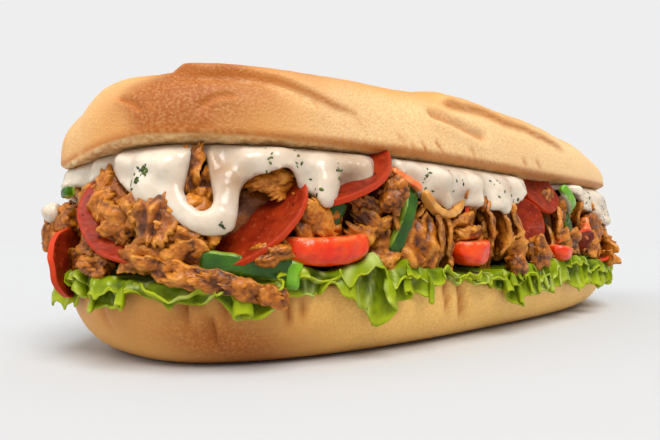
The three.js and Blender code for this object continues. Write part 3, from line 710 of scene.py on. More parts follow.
def base_form(ball):
    """The lower half: flat underneath, a rounded flank with creases, and the cut face on top."""
    level = level_of(ball)
    bearing = bearing_of(ball)
    if level < BASE_FOOT:
        inset = BASE_INSET + 34 * (BASE_FOOT - level) / (90 + BASE_FOOT)
        share, crumb = 0.0, 0.0
    elif level < BASE_RIM:
        share = 0.95 * (level - BASE_FOOT) / (BASE_RIM - BASE_FOOT)
        inset = BASE_INSET * (1 - math.sqrt(1 - (1 - share) ** 2))
        crumb = 0.0
    else:
        share = 1.0
        inset = RIM_INSET + 32 * ((level - BASE_RIM) / (90 - BASE_RIM)) ** 1.6
        crumb = eased(level, BASE_RIM, BASE_RIM + 6)
    height = BASE_HEIGHT * share - 0.8 * eased(level, BASE_RIM + 2, BASE_RIM + 20)
    baked = 0.0
    flank = eased(share, 0.02, 0.3) * (1 - crumb)
    for middle, width, depth, slant, reach in BASE_CREASES:
        away = arc_between(bearing, middle + slant * (1 - share))
        if abs(away) > 6:
            continue
        fade = flank * eased(share, 1 - reach - 0.1, 1 - reach + 0.25)
        inset += 1.4 * fade * depth * bell(away, width)
        inset -= fade * 0.35 * depth * bell(away - 2.2 * width, width)
        # The crease is painted darker, as shade.
        baked = max(baked, 0.9 * fade * bell(away, width * 0.8))
    half_length, half_width = BASE_HALF_LENGTH - inset, BASE_HALF_WIDTH - inset
    if level < BASE_FOOT:
        shrink = (90 + level) / (90 + BASE_FOOT)
        half_length = (BASE_HALF_LENGTH - BASE_INSET) * shrink
        half_width = (BASE_HALF_WIDTH - BASE_INSET) * shrink
    elif crumb:
        shrink = clamp((90 - level) / (90 - BASE_RIM)) ** 0.8
        half_length = (BASE_HALF_LENGTH - RIM_INSET) * shrink
        half_width = (BASE_HALF_WIDTH - RIM_INSET) * shrink
    spot = plan_point(bearing, half_length, half_width, WALL_POWER)
    lumps = 0.35 * wobble((spot.x, spot.y, height), 18, 5) * flank
    normal = wall_normal(spot) if spot.length > 1 else Vector((0, 0))
    spot += normal * lumps
    browned = 0.0
    for middle, patch_height, reach, strength in BASE_BROWNED_AND_SHADED:
        away = math.hypot(arc_between(bearing, middle) * 0.9, (height - patch_height) * 1.3)
        browned += strength * bell(away, reach)
    baked = max(baked, 0.6 * bell(height - BASE_HEIGHT * 0.97, 0.9) * (1 - crumb))
    # Darker along the foot.
    baked = max(baked, 0.35 * (1 - eased(share, 0.0, 0.2)))
    # Paler towards the right: partly crust that baked less, partly painted light on the flank in the leaves'
    # shadow.
    pale = 0.4 + 0.6 * eased(spot.x, -115, -70)
    return Vector((spot.x, spot.y, max(height, 0))), crumb, baked, clamp(browned), pale


class BreadSettings(PropertyGroup):
    half_length: length_setting("Half length", "Half the length of the upper half of the roll", 0.129)
    half_width: length_setting("Half width", "Half the width of the upper half of the roll", 0.051)
    rim_height: length_setting("Rim height", "How high the crust of the upper half ends", 0.052)
    crown_height: length_setting("Crown height", "From the rim of the upper half to its crown", 0.0234)
    crust_colour: colour_setting("Crust", "Golden colour of the crust", "#DE9942")
    # partly crust that baked less, partly painted light
    pale_and_lit_crust_colour: colour_setting("Pale crust", "Crust that baked less", "#F0C990")
    base_colour: colour_setting("Base crust", "Colour of the lower half, which baked darker", "#CC7A18")
    # partly crust that baked less, partly painted light
    pale_and_lit_base_colour: colour_setting("Pale base crust", "Crust of the lower half that baked less", "#FFCC70")
    # partly crust that baked more, partly painted shade
    browned_and_shaded_colour: colour_setting("Browned crust", "Crust that baked more", "#A05616")


class BakeRoll(Operator):
    """Make both halves of the scored roll"""

    bl_idname = "cheesesteak.bake_roll"
    bl_label = "Bake the roll"

    def execute(self, context):
        bread = context.scene.cheesesteak_bread
        crust = crust_finish(bread, bread.crust_colour, bread.pale_and_lit_crust_colour)
        base_crust = crust_finish(bread, bread.base_colour, bread.pale_and_lit_base_colour)
        top = bmesh.new()
        moulded(top, TOP_FACES, top_form(bread), CRUST_MARKS)
        finished("upper_roll", top, crust, ["roll_top"])
        base = bmesh.new()
        moulded(base, BASE_FACES, base_form, CRUST_MARKS)
        finished("lower_roll", base, base_crust, ["roll_base"])
        return {"FINISHED"}


# ---- lettuce ----

# Height of the lettuce's upper edge and of its ragged hem, by bearing, along the front.
LEAF_TOP = [
    (160, 22.0),
    (174, 22.6),
    (185, 21.6),
    (195, 19.6),
    (203, 18.8),
    (214, 19.4),
    (221, 21.4),
    (227, 23.2),
    (232.4, 22.2),
    (236, 23.4),
    (238.8, 25.2),
    (241, 22.4),
    (242.8, 21.2),
    (245.4, 23.8),
    (251.2, 21.6),
    (256.2, 19.4),
    (265.3, 18.8),
    (270, 21.4),
    (275.8, 24.0),
    (286.8, 21.2),
    (302, 20.6),
    (318, 22.0),
]
LEAF_HEM = [
    (160, 15.0),
    (169, 12.6),
    (174.1, 12.2),
    (179.9, 16.0),
    (183.6, 13.0),
    (187.4, 13.6),
    (191.5, 13.4),
    (195.6, 16.8),
    (199, 17.2),
    (203.5, 16.4),
    (205.4, 15.0),
    (208, 16.6),
    (211.2, 17.2),
    (215.1, 12.9),
    (218.7, 10.6),
    (220.7, 14.4),
    (224, 16.6),
    (227.1, 16.2),
    (230.3, 15.2),
    (233.3, 17.6),
    (236, 14.6),
    (238.2, 12.0),
    (239.8, 10.0),
    (241.2, 12.4),
    (242.8, 15.8),
    (244, 16.6),
    (246.3, 16.2),
    (250.2, 13.4),
    (252.8, 16.9),
    (256.2, 18.0),
    (258.6, 17.4),
    (261.3, 15.8),
    (264.6, 14.4),
    (266.7, 8.2),
    (269.1, 12.4),
    (271.8, 12.2),
    (275, 14.0),
    (279, 10.6),
    (284, 13.4),
    (290, 10.4),
    (297, 14.0),
    (306, 11.4),
    (318, 15.0),
]
LEAF_MARKS = ("hem", "rib", "tone")
LEAF_FRONT = (160, 318)
LEAF_REACH = 4.6  # how far a leaf stands out of the filling's face at most
BACK_LEAF_REACH = 3.9
LONG_RUFFLES = 50  # how many millimetres fewer of ruffle there are round the right end
LEAF_ON_CRUST = 1.1  # how far out a leaf hangs clear of the lower crust
BED_OUT = -11  # where a leaf comes out of the heap, from the filling's face
RUFFLE = 14.0  # how many millimetres one ruffle takes
LEAF_CREST = 0.38  # how far from its bed to its hem a leaf reaches its crest
LEAF_COLUMN = 0.55  # how many millimetres one column of a leaf's faces takes
LEAF_ROWS = 24
TIP_COLUMNS = 6  # over how many of them each end of a leaf narrows
LEAF_SPANS = {"1": [(119.8, 240.6)], "2": [(234.8, 298.8), (55.6, 125.2)], "3": [(293, 421.6)]}
UPPER_LEAF_INSET = 1.5  # how much shorter the second layer is at each end, in degrees of bearing
BLISTER = 2.6  # how wide the blistered fields between the veins are


def leaf_edges(bearing, layer):
    """Heights of a leaf's crest and hem. The hidden side wanders in the same way as the front."""
    along = even_place(bearing)
    bearing %= 360
    if LEAF_FRONT[0] <= bearing <= LEAF_FRONT[1]:
        top, hem = smooth_table(LEAF_TOP, bearing), smooth_table(LEAF_HEM, bearing)
    else:
        top = 21.8 + 1.6 * wobble((along, 0, 0), 16, 51)
        hem = 13.6 + 3.4 * wobble((along, 0, 0), 9, 52)
        near_front = max(bell(arc_between(bearing, edge), 6) for edge in LEAF_FRONT)
        top = mixed(top, 22.0, near_front)
        hem = mixed(hem, 15.0, near_front)
    if layer:
        top += 0.5
        hem = max(hem + 3.4, top - 4.6) + 1.0 * wobble((along, 9, 0), 7, 53)
    return top, min(hem, top - 1.6)


def leaf_point(bearing, share, layer):
    """A point of a ruffled leaf, and how far it stands forward in its ruffle, from -1 to 1. share
    runs from the bed, over the crest, to the hem."""
    along = even_place(bearing)
    top, hem = leaf_edges(bearing, layer)
    drop = top - hem
    hang = clamp((share - LEAF_CREST) / (1 - LEAF_CREST))
    lift = eased(share, 0, LEAF_CREST)
    height = mixed(LEAF_BED_HEIGHT, top, lift) - drop * hang**1.15
    flare = mixed(1.0, 2.6, eased(drop, 3, 12)) if not layer else 2.4
    out = mixed(BED_OUT, 0.9 + 0.8 * layer, lift) + flare * hang**0.8
    waves = (along - LONG_RUFFLES * eased(along, even_place(284), even_place(338))) / RUFFLE
    waves += 2.6 * wobble((along, 3 * layer, 0), 22, 54 + layer)
    waves += 0.37 * layer
    far_end = eased(bearing % 360, 258, 284) * eased(-(bearing % 360), -352, -330)
    turn = 2 * math.pi * (waves + 1.4 * far_end * wobble((along, 7, layer), 26, 64))
    clump = 0.5 + 0.5 * wobble((along, 5, layer), 15, 55)
    depth = (1 - 0.45 * far_end) * mixed(0.9, 4.2, clamp(clump)) * eased(share, 0.15, 0.9)
    fine = (1 - 0.6 * far_end) * mixed(0.3, 1.0, clamp(1 - clump)) * eased(share, 0.4, 1.0)
    crinkle = 2 * math.pi * (along / 7.4 + 2.2 * wobble((along, 0, 8), 12, 56) + 0.15 * math.sin(turn))
    forward = 0.75 * math.cos(turn) + 0.25 * math.cos(crinkle)
    out += depth * math.cos(turn) + fine * math.cos(crinkle)
    height += 0.6 * depth * math.sin(turn + 0.8) * (1 - 0.6 * hang) + 0.6 * fine * math.sin(crinkle) * hang
    ragged = wobble((along, 0, 4 * layer), 3.0, 57) + 0.6 * wobble((along, 0, 4 * layer), 1.3, 62)
    height += 1.2 * eased(hang, 0.6, 1.0) * ragged
    height += 1.1 * lift * wobble((along, 6 * share, layer), 4.6, 63)
    curl = eased(hang, 0.72, 1.0) * clamp(0.5 + 0.9 * wobble((along, 2, layer), 7, 61))
    out += 1.3 * curl
    height += 1.5 * curl * hang
    slide = -1.4 * depth * math.sin(turn) - 0.5 * depth * math.sin(2 * turn)
    out += 0.75 * wobble((along, height, layer), 3.4, 58) * eased(share, 0.1, 0.5)
    out -= 2.5 * bell(arc_between(bearing, 174), 6)
    reach = LEAF_REACH if LEAF_FRONT[0] <= bearing % 360 <= LEAF_FRONT[1] else BACK_LEAF_REACH
    reach -= 2.2 * bell(arc_between(bearing, 0), 14)
    soft = 1.6  # how gently the leaf is held back where it would stand out too far
    if out > reach - soft:
        out = reach - soft * math.exp(-(out - reach + soft) / soft)
    if height < BASE_HEIGHT:
        out = max(out, LEAF_ON_CRUST + 0.3 * layer)
    spot = wall_point(bearing, out)
    normal = wall_normal(wall_point(bearing, 0))
    spot += Vector((-normal.y, normal.x)) * slide * mixed(0.6, 0.3, eased(bearing % 360, 262, 282))
    return Vector((spot.x, spot.y, max(height, 3))), forward


def leaf(bm, first, last, layer):
    """One long ruffled leaf between two bearings. layer is 0 for the lower leaf, 1 for the upper."""
    start, end = even_share(first), even_share(last)
    columns = int((end - start) * WALL_GIRTH / LEAF_COLUMN)
    narrowing = TIP_COLUMNS / columns

    def form(flat):
        part, share = (flat.x + 1) / 2, (flat.y + 1) / 2
        tip = eased(part, 0, narrowing) * eased(1 - part, 0, narrowing)
        bearing = even_bearing(start + (end - start) * part)
        place, forward = leaf_point(bearing, share * mixed(0.3, 1, tip), layer)
        along = even_place(bearing)
        vein = wobble((along + 3 * share, share * 2.0, layer), 5.0, 59)
        rib = bell(vein, 0.08) * (1 - 0.5 * share)
        blotch = wobble((along, share * 9, layer), 6, 60)
        # tone: lighter where the ruffle stands forward and darker where it folds back, as painted light and
        # shade, with blotches of the leaf's own
        return place, share, rib, clamp(0.42 + 0.42 * forward + 0.3 * blotch)

    shape = bmesh.ops.create_grid
    shaped(bm, form, LEAF_MARKS, shape, x_segments=columns, y_segments=LEAF_ROWS, size=1)


def leaf_finish(lettuce):
    """Fresh lettuce: thin, wet and waxy, with blistered fields between its veins. Light glows through
    the hem, which is yellower, and the ribs are nearly white. Its ruffles are painted lighter where
    they stand forward and darker in their folds: painted light and shade."""
    material, tree, shader, masks = new_finish(
        "fresh lettuce leaf",
        {"Roughness": 0.4, "Specular IOR Level": 0.1, **see_through(0.2, 0.8, 1.2, 0.2)},
        marks=LEAF_MARKS,
        grains={"blotches": (3.5, 0.4, 0.7, 3)},
    )
    hem = add_node(tree, "ShaderNodeMapRange", {0: masks["hem"], 1: 0.72, 2: 1.0, 4: 0.7}).outputs[0]
    leaf_green = coloured(
        tree,
        (*lettuce.deep_and_shaded_colour, 1),
        # the leaf colour is painted on the forward ruffles as light, over the deep green painted in the folds
        # as shade
        (masks["tone"], (*lettuce.leaf_colour, 1), 1),
        (masks["blotches"], linear("#90A00A"), 0.6),
        (hem, linear("#B2BC22"), 1),
        (masks["rib"], linear("#CAD484"), 0.8),
    )
    tree.links.new(leaf_green, shader.inputs["Base Color"])
    fields = add_node(
        tree,
        "ShaderNodeTexVoronoi",
        {"Vector": masks["where"], "Scale": 1 / BLISTER},
        feature="SMOOTH_F1",
    ).outputs["Distance"]
    bump = add_node(tree, "ShaderNodeBump", {"Height": fields, "Distance": -0.6 * MM, "Strength": 1.0})
    tree.links.new(bump.outputs[0], shader.inputs["Normal"])
    return material


class LettuceSettings(PropertyGroup):
    thickness: length_setting("Leaf thickness", "Thickness of the leaves", 0.0005)
    # The leaf colour is painted on forward ruffles as light, and the deep colour in the folds as shade; each
    # is partly the leaf's own green.
    leaf_colour: colour_setting("Leaf", "Yellow green of the leaves", "#7E9002")
    deep_and_shaded_colour: colour_setting("Deep leaf", "Darker green of the leaves", "#203A00")


class LayLettuce(Operator):
    """Lay the ruffled leaves on the lower half"""

    bl_idname = "cheesesteak.lay_lettuce"
    bl_label = "Lay the lettuce"

    def execute(self, context):
        lettuce = context.scene.cheesesteak_lettuce
        material = leaf_finish(lettuce)
        for number, runs in LEAF_SPANS.items():
            bm = bmesh.new()
            for first, last in runs:
                leaf(bm, first, last, 0)
                leaf(bm, first + UPPER_LEAF_INSET, last - UPPER_LEAF_INSET, 1)
            piece = finished(f"leaf_{number}", bm, material, [f"lettuce_{number}"])
            wall = piece.modifiers.new("leaf thickness", "SOLIDIFY")
            wall.thickness = lettuce.thickness
            wall.offset = 0
        return {"FINISHED"}


# ---- steak ----

# ridge: how far a place stands out of its piece; the finish paints the low places nearly black, as shade in
# the folds
MEAT_MARKS = ("ridge", "tone", "rim")
CORE_FACES = (300, 40)  # round the heap, and from its foot over its top
GOLDEN_SHARE = 0.618  # spreads the heights of the scraps evenly
# Every loose piece draws its own shape: the first seed of each kind.
HERO_SEED = 100
LAP_SEED = 500
SCRAP_SEED = 1000
CRUMB_SEED = 4000
FINE_SCRAPS = (165, 320)  # bearings between which the scraps are seen from near
LEAST_CURL = 0.05  # radians: what curls less than this is left flat


def nodules(point):
    """Rounded knobs: about 0.5 in the middle of one, and below 0 in the creases between."""
    distances, _ = noise.voronoi(point)
    return 0.5 - distances[0]


def bent(along, above, length, angle):
    """Bends a strip of a length by an angle in degrees: a place along and above it, before and after."""
    bend = math.radians(angle)
    if abs(bend) <= LEAST_CURL:
        return along, above
    radius = length / bend
    turn = along / radius
    return (radius + above) * math.sin(turn), (radius + above) * math.cos(turn) - radius


def shaving(bm, at, turned, size, seed, fineness=4, crumple=1.0):
    """A slice shaved off the steak: ragged, crumpled and curled. size is its length, width and
    thickness, and how far it curls along its length and across it, in degrees."""
    length, width, thickness, curl, cup = size
    draw = random.Random(seed)
    phase = Vector([draw.uniform(0, 90) for _ in range(3)])
    tone = draw.random()
    place = laid(at, turned)

    def form(ball):
        angle = math.atan2(ball.y, ball.x)
        reach = math.hypot(ball.x, ball.y)
        round_it = Vector((math.cos(angle), math.sin(angle), 0))
        ragged = 1 + 0.26 * noise.noise(round_it * 1.4 + phase) + 0.26 * noise.noise(round_it * 4.3 + phase)
        ragged += 0.1 * noise.noise(round_it * 10 + phase)
        x = signed_power(ball.x, 0.9) * ragged * length / 2
        y = signed_power(ball.y, 0.9) * ragged * width / 2
        flat = Vector((x, y, 0))
        sheet = crumple * (2.0 * noise.noise(flat / 6.0 + phase) + 0.9 * noise.noise(flat / 2.7 - phase))
        pleat = noise.noise(Vector((x / 5.0, y / 1.5, 0)) + phase * 2)
        sheet += 0.7 * crumple * pleat
        knob = nodules(Vector((x, y, 2.4 * ball.z)) / 2.6 + phase)
        fine = noise.noise(Vector((x, y, 2.2 * ball.z)) / 0.75 + phase * 3)
        z = signed_power(ball.z, 0.6) * thickness / 2 * (1 + 0.35 * knob + 0.2 * fine)
        x, z = bent(x, z, length, curl)
        y, z = bent(y, z, width, cup)
        ridge = 0.42 + 0.5 * knob + 0.35 * fine + 0.3 * sheet / max(crumple, 0.3) + 0.3 * pleat
        return held_in(place @ Vector((x, y, z + sheet))), clamp(ridge), tone, eased(reach, 0.7, 1.0)

    lump(bm, fineness, form, MEAT_MARKS)


def hero_fineness(bearing):
    """The pieces nearest the viewer have the finest faces."""
    return 5 if 176 < bearing < 258 else 4


def folded_slice(outer, inner, at, turned, size, seed):
    """A slice that folded up on the griddle: one curled piece with a second in its lap."""
    length, width = size[:2]
    draw = random.Random(seed)
    bearing, height, out = at
    curl, cup = draw.choice((-130, -95, 120, 150, 170)), draw.uniform(-50, 60)
    slice_size = (length * 1.3, width * 1.15, 2.0, curl, cup)
    shaving(outer, at, turned, slice_size, seed, hero_fineness(bearing), 1.1)
    below = (bearing + draw.uniform(-0.8, 0.8), height + draw.uniform(-1, 1), out - 1.0)
    crossed = (turned[0] + draw.uniform(50, 120), turned[1] + draw.uniform(-20, 30), turned[2])
    slice_size = (length * 1.1, width, 2.0, draw.uniform(70, 140), 40)
    shaving(inner, below, crossed, slice_size, seed + LAP_SEED, 3, 1.1)


def chunk(bm, at, turned, size, seed, fineness=4):
    """A knobbly lump of steak."""
    length, width, thickness = size[:3]
    draw = random.Random(seed)
    phase = Vector([draw.uniform(0, 90) for _ in range(3)])
    tone = draw.random()
    place = laid(at, turned)

    def form(ball):
        folds = noise.noise(ball * 1.2 + phase)
        knob = nodules(ball * 1.7 + phase)
        small = nodules(ball * 3.9 - phase)
        fine = noise.noise(ball * 9 + phase)
        reach = 0.94 + 0.5 * folds + 0.34 * knob + 0.13 * small + 0.05 * fine
        point = Vector((ball.x * length, ball.y * width, ball.z * thickness)) * reach / 2
        ridge = clamp(0.36 + 0.8 * knob + 0.6 * small + 0.35 * fine)
        return held_in(place @ point), ridge, tone, 0.0

    lump(bm, fineness, form, MEAT_MARKS)


# The pieces that show at the front: kind, place, turn, and size with a slice's curl and cup.
HERO_MEAT = [
    ("nugget", (168, 33.2, 4.2), (70, 0, 0), (11, 6.4, 6)),
    ("nugget", (165.4, 30.4, 3.4), (96, 0, 0), (12, 8, 8)),
    ("nugget", (171, 28.4, 2.2), (50, 0, 0), (9, 7, 6)),
    ("nugget", (172.4, 34.6, 1.0), (10, 0, 0), (9, 8, 7)),
    ("shaving", (177, 24.0, 2.6), (8, 10, 0), (13, 6.6, 2.4, 50, 60)),
    ("nugget", (183.4, 23.8, 1.6), (-8, 0, 0), (10, 6.4, 7)),
    ("shaving", (184.4, 36.6, 2.4), (40, 10, 10), (11, 6, 2.0, 80, 30)),
    ("shaving", (187.8, 34.8, 2.6), (-24, 20, 0), (13, 7, 2.0, 90, 40)),
    ("shaving", (191.6, 33.6, 2.2), (34, 10, 0), (12, 7, 2.0, -80, 30)),
    ("shaving", (188.8, 31.4, 2.2), (-50, 10, 0), (10, 5, 2.0, 70, 20)),
    ("chunk", (179.6, 29, 0.4), (-30, 0, 0), (9, 7, 6)),
    ("shaving", (180, 38.6, 0.4), (20, 10, 0), (13, 7, 2.6, 60, 20)),
    ("shaving", (183.6, 41.6, 0.6), (66, 0, 0), (11, 5, 2.4, 40, 10)),
    ("shaving", (187.4, 38.6, -0.2), (-50, 0, 20), (17, 6, 2.4, 50, 20)),
    ("shaving", (191.6, 37.4, 0.2), (30, 0, -10), (11, 5, 2.2, 90, 20)),
    ("chunk", (197.0, 31.4, -0.4), (10, 0, 0), (13, 9, 8)),
    ("shaving", (200, 33.4, 4.2), (84, -6, 10), (11.5, 8.6, 1.6, 20, -16)),
    ("shaving", (197.4, 26.4, 2.6), (24, 20, 10), (15, 8, 2.0, 50, 50)),
    ("shaving", (200.6, 25.0, 3.0), (-16, 34, 0), (14, 7, 2.0, 60, 40)),
    ("shaving", (204.0, 28.6, 3.0), (-30, 20, -10), (14, 9, 2.0, 60, 60)),
    ("shaving", (206.4, 25.6, 3.2), (12, 30, 10), (13, 8, 2.0, 70, 40)),
    ("chunk", (207.6, 30.6, 0.6), (20, 0, 0), (10, 7, 7)),
    ("chunk", (206.4, 34.6, 1.6), (30, 0, 0), (10, 8, 7)),
    ("shaving", (199.6, 24.0, 3.0), (-10, 20, 0), (13, 5, 2.6, 20, 30)),
    ("shaving", (203.6, 22.6, 3.8), (-14, 16, 0), (14, 5, 3.0, 20, 40)),
    ("shaving", (208.4, 21.2, 4.2), (-8, 14, 0), (14, 4.6, 3.0, 16, 50)),
    ("shaving", (213.2, 20.2, 4.2), (-10, 12, 0), (14, 4.8, 3.0, 10, 50)),
    ("shaving", (217.8, 18.8, 4.2), (-16, 12, 0), (13, 4.8, 2.8, 10, 50)),
    ("shaving", (221.2, 17.4, 4.0), (-22, 10, 0), (9, 4.6, 2.6, 20, 50)),
    ("nugget", (221.0, 26.8, 3.8), (10, 0, 0), (9.4, 5.4, 6)),
    ("shaving", (206.8, 45.4, 0.2), (84, 0, 0), (12, 4, 2.2, 20, 30)),
    ("shaving", (209.8, 42, -1.4), (60, 0, 0), (12, 6, 3, 40, 30)),
    ("shaving", (221.6, 43.4, -1.6), (14, 0, 0), (15, 5, 3, 30, 40)),
    ("shaving", (225, 42, -1.2), (30, 0, 20), (12, 6, 2.6, 60, 20)),
    ("shaving", (230.4, 34.4, 0.8), (-42, 0, 24), (13, 6.6, 2.0, 20, 10)),
    ("shaving", (227.4, 34, -0.4), (-70, 0, 0), (11, 5, 2.4, 30, 20)),
    ("chunk", (232.6, 31.6, -0.8), (0, 0, 0), (10, 9, 8)),
    ("nugget", (243.2, 40.4, 1.2), (0, 0, 0), (9.4, 9, 8)),
    ("shaving", (239.8, 36.4, 1.0), (-14, 46, 0), (14, 6, 2.0, 110, 30)),
    ("shaving", (240.4, 33, 1.2), (-6, 50, 0), (14, 6, 2.2, 100, 30)),
    ("shaving", (238.6, 30.4, 0.8), (-10, 40, 0), (12, 6, 2.2, 90, 30)),
    ("chunk", (243.6, 26.4, -0.6), (0, 0, 0), (10, 8, 7)),
    ("shaving", (249.4, 28.6, 1.6), (76, 0, -16), (17, 13, 1.8, 60, 70)),
    ("shaving", (252.8, 30.4, 1.0), (84, 0, 56), (19, 9, 1.8, 50, 30)),
    ("shaving", (254.6, 28.6, 0.6), (84, 0, 62), (16, 8, 1.8, 40, 30)),
    ("chunk", (247.4, 25.4, 1.4), (30, 0, 0), (8, 7, 6)),
    ("shaving", (259.0, 30.6, 1.2), (-2, 44, 0), (15, 8, 2.2, 50, 60)),
    ("shaving", (257.6, 34.2, 0.4), (20, 20, 0), (12, 6, 2.2, 60, 30)),
    ("shaving", (263.0, 34.2, 1.0), (80, 0, 54), (15, 7, 1.9, 50, 40)),
    ("shaving", (265.6, 33.0, 1.0), (84, 0, 56), (17, 7, 1.9, 50, 40)),
    ("shaving", (267.8, 35.0, 0.8), (84, 0, 50), (13, 6, 1.9, 60, 30)),
    ("nugget", (267.0, 21.8, 2.2), (-18, 0, 0), (9.6, 6.4, 6)),
    ("nugget", (270.2, 25.4, 1.6), (-40, 0, 0), (12, 9, 8)),
    ("chunk", (268.2, 28.6, 0.8), (30, 0, 0), (9, 7, 7)),
    ("shaving", (275.0, 35.6, 0.6), (76, 0, 36), (13, 6.4, 2, 60, 20)),
    ("shaving", (276.4, 31.0, 0.8), (10, 20, 0), (12, 6, 2.4, 60, 30)),
    ("chunk", (273.6, 43.6, -0.6), (0, 0, 0), (8, 7, 6)),
    ("chunk", (281.4, 29.6, 0.2), (0, 0, 0), (11, 8, 8)),
    ("nugget", (288.6, 36.8, 0.8), (0, 0, 0), (11, 8, 7)),
    ("chunk", (295.6, 34.2, 1.0), (-20, 0, 0), (15, 10, 9)),
    ("chunk", (303.6, 28.6, 1.0), (10, 0, 0), (14, 10, 9)),
    ("shaving", (291.6, 27.6, 1.0), (20, 0, 0), (14, 7, 2.4, 60, 30)),
    ("chunk", (300.6, 22.8, 1.6), (0, 0, 0), (12, 6, 7)),
]


# Where no scrap may hide a slice of salami: from bearing, to bearing, from height, to height.
KEPT_CLEAR = [
    (180, 193, 22, 36),
    (209, 229, 22, 43),
    (229, 241, 34, 47),
    (265, 277, 30, 50),
    (283, 288, 26, 32),
    (292, 328, 37.5, 60),
]


def kept_clear(at):
    """Whether a place lies where nothing may be scattered."""
    return any(low < at[0] < high and under < at[1] < over for low, high, under, over in KEPT_CLEAR)


def heap_core(bm):
    """The middle of the heap, hidden behind the pieces and painted dark, as shade between them."""

    def form(ball):
        bearing = bearing_of(ball)
        level = level_of(ball)
        rise = clamp(level / 60, -1, 1)
        height = mixed(HEAP_FLOOR, HEAP_TOP, (rise + 1) / 2)
        inset = CORE_INSET + 2.4 * abs(rise) ** 4
        reach = clamp((90 - abs(level)) / 30) ** 0.9
        spot = wall_point(bearing, -inset) * reach
        swell = wobble((spot.x, spot.y, height), 6, 3) * 1.4 + wobble((spot.x, spot.y, height), 2.6, 4) * 0.7
        spot += wall_normal(wall_point(bearing, 0)) * swell * eased(reach, 0.6, 1)
        # A low ridge and tone paint the core dark: painted shade between the pieces.
        return Vector((spot.x, spot.y, height)), clamp(0.12 + 0.2 * swell), 0.2, 0.0

    moulded(bm, CORE_FACES, form, MEAT_MARKS)


def meat_finish(steak):
    """Griddled beef: browned and glazed with its juices, golden along ridges and thin rims. Its folds
    are painted nearly black, as shade."""
    material, tree, shader, masks = new_finish(
        "griddled beef",
        {"Specular IOR Level": 0.3, "Coat Weight": 0.12, "Coat Roughness": 0.12},
        marks=MEAT_MARKS,
        grains={
            "fibre": (1.1, 0.38, 0.62, 4),
            "wet": (2.4, 0.35, 0.65, 3),
            "knobs": (1.3, 0.25, 0.75, 3),
        },
        relief=("knobs", 0.3),
    )
    # seared lifts the meat out of the near-black painted shade of the folds where it stands out.
    seared = add_node(tree, "ShaderNodeMapRange", {0: masks["ridge"], 1: 0.05, 2: 0.48}).outputs[0]
    golden = add_node(tree, "ShaderNodeMapRange", {0: masks["ridge"], 1: 0.5, 2: 0.95, 4: 0.9}).outputs[0]
    brown = coloured(tree, (*steak.dark_colour, 1), (masks["tone"], (*steak.meat_colour, 1), 1))
    meat = coloured(
        tree,
        # near black: painted shade in the folds
        linear("#4A2004"),
        (seared, brown, 1),
        (golden, (*steak.ridge_colour, 1), 1),
        (masks["rim"], (*steak.ridge_colour, 1), 0.4),
        (masks["fibre"], linear("#7A3A0A"), 0.2),
    )
    tree.links.new(meat, shader.inputs["Base Color"])
    gloss = add_node(tree, "ShaderNodeMapRange", {0: masks["wet"], 3: 0.22, 4: 0.5}).outputs[0]
    tree.links.new(gloss, shader.inputs["Roughness"])
    return material


class SteakSettings(PropertyGroup):
    scattered: count_setting("Scattered pieces", "How many smaller pieces fill the heap's sides", 240)
    crumbs: count_setting("Crumbs", "How many crumbs of meat cling to the heap", 380)
    meat_colour: colour_setting("Meat", "Brown of the lighter pieces", "#C06E12")
    dark_colour: colour_setting("Dark meat", "Brown of the darker pieces", "#A0560E")
    ridge_colour: colour_setting("Ridges", "Gold of seared ridges and rims", "#DA9030")


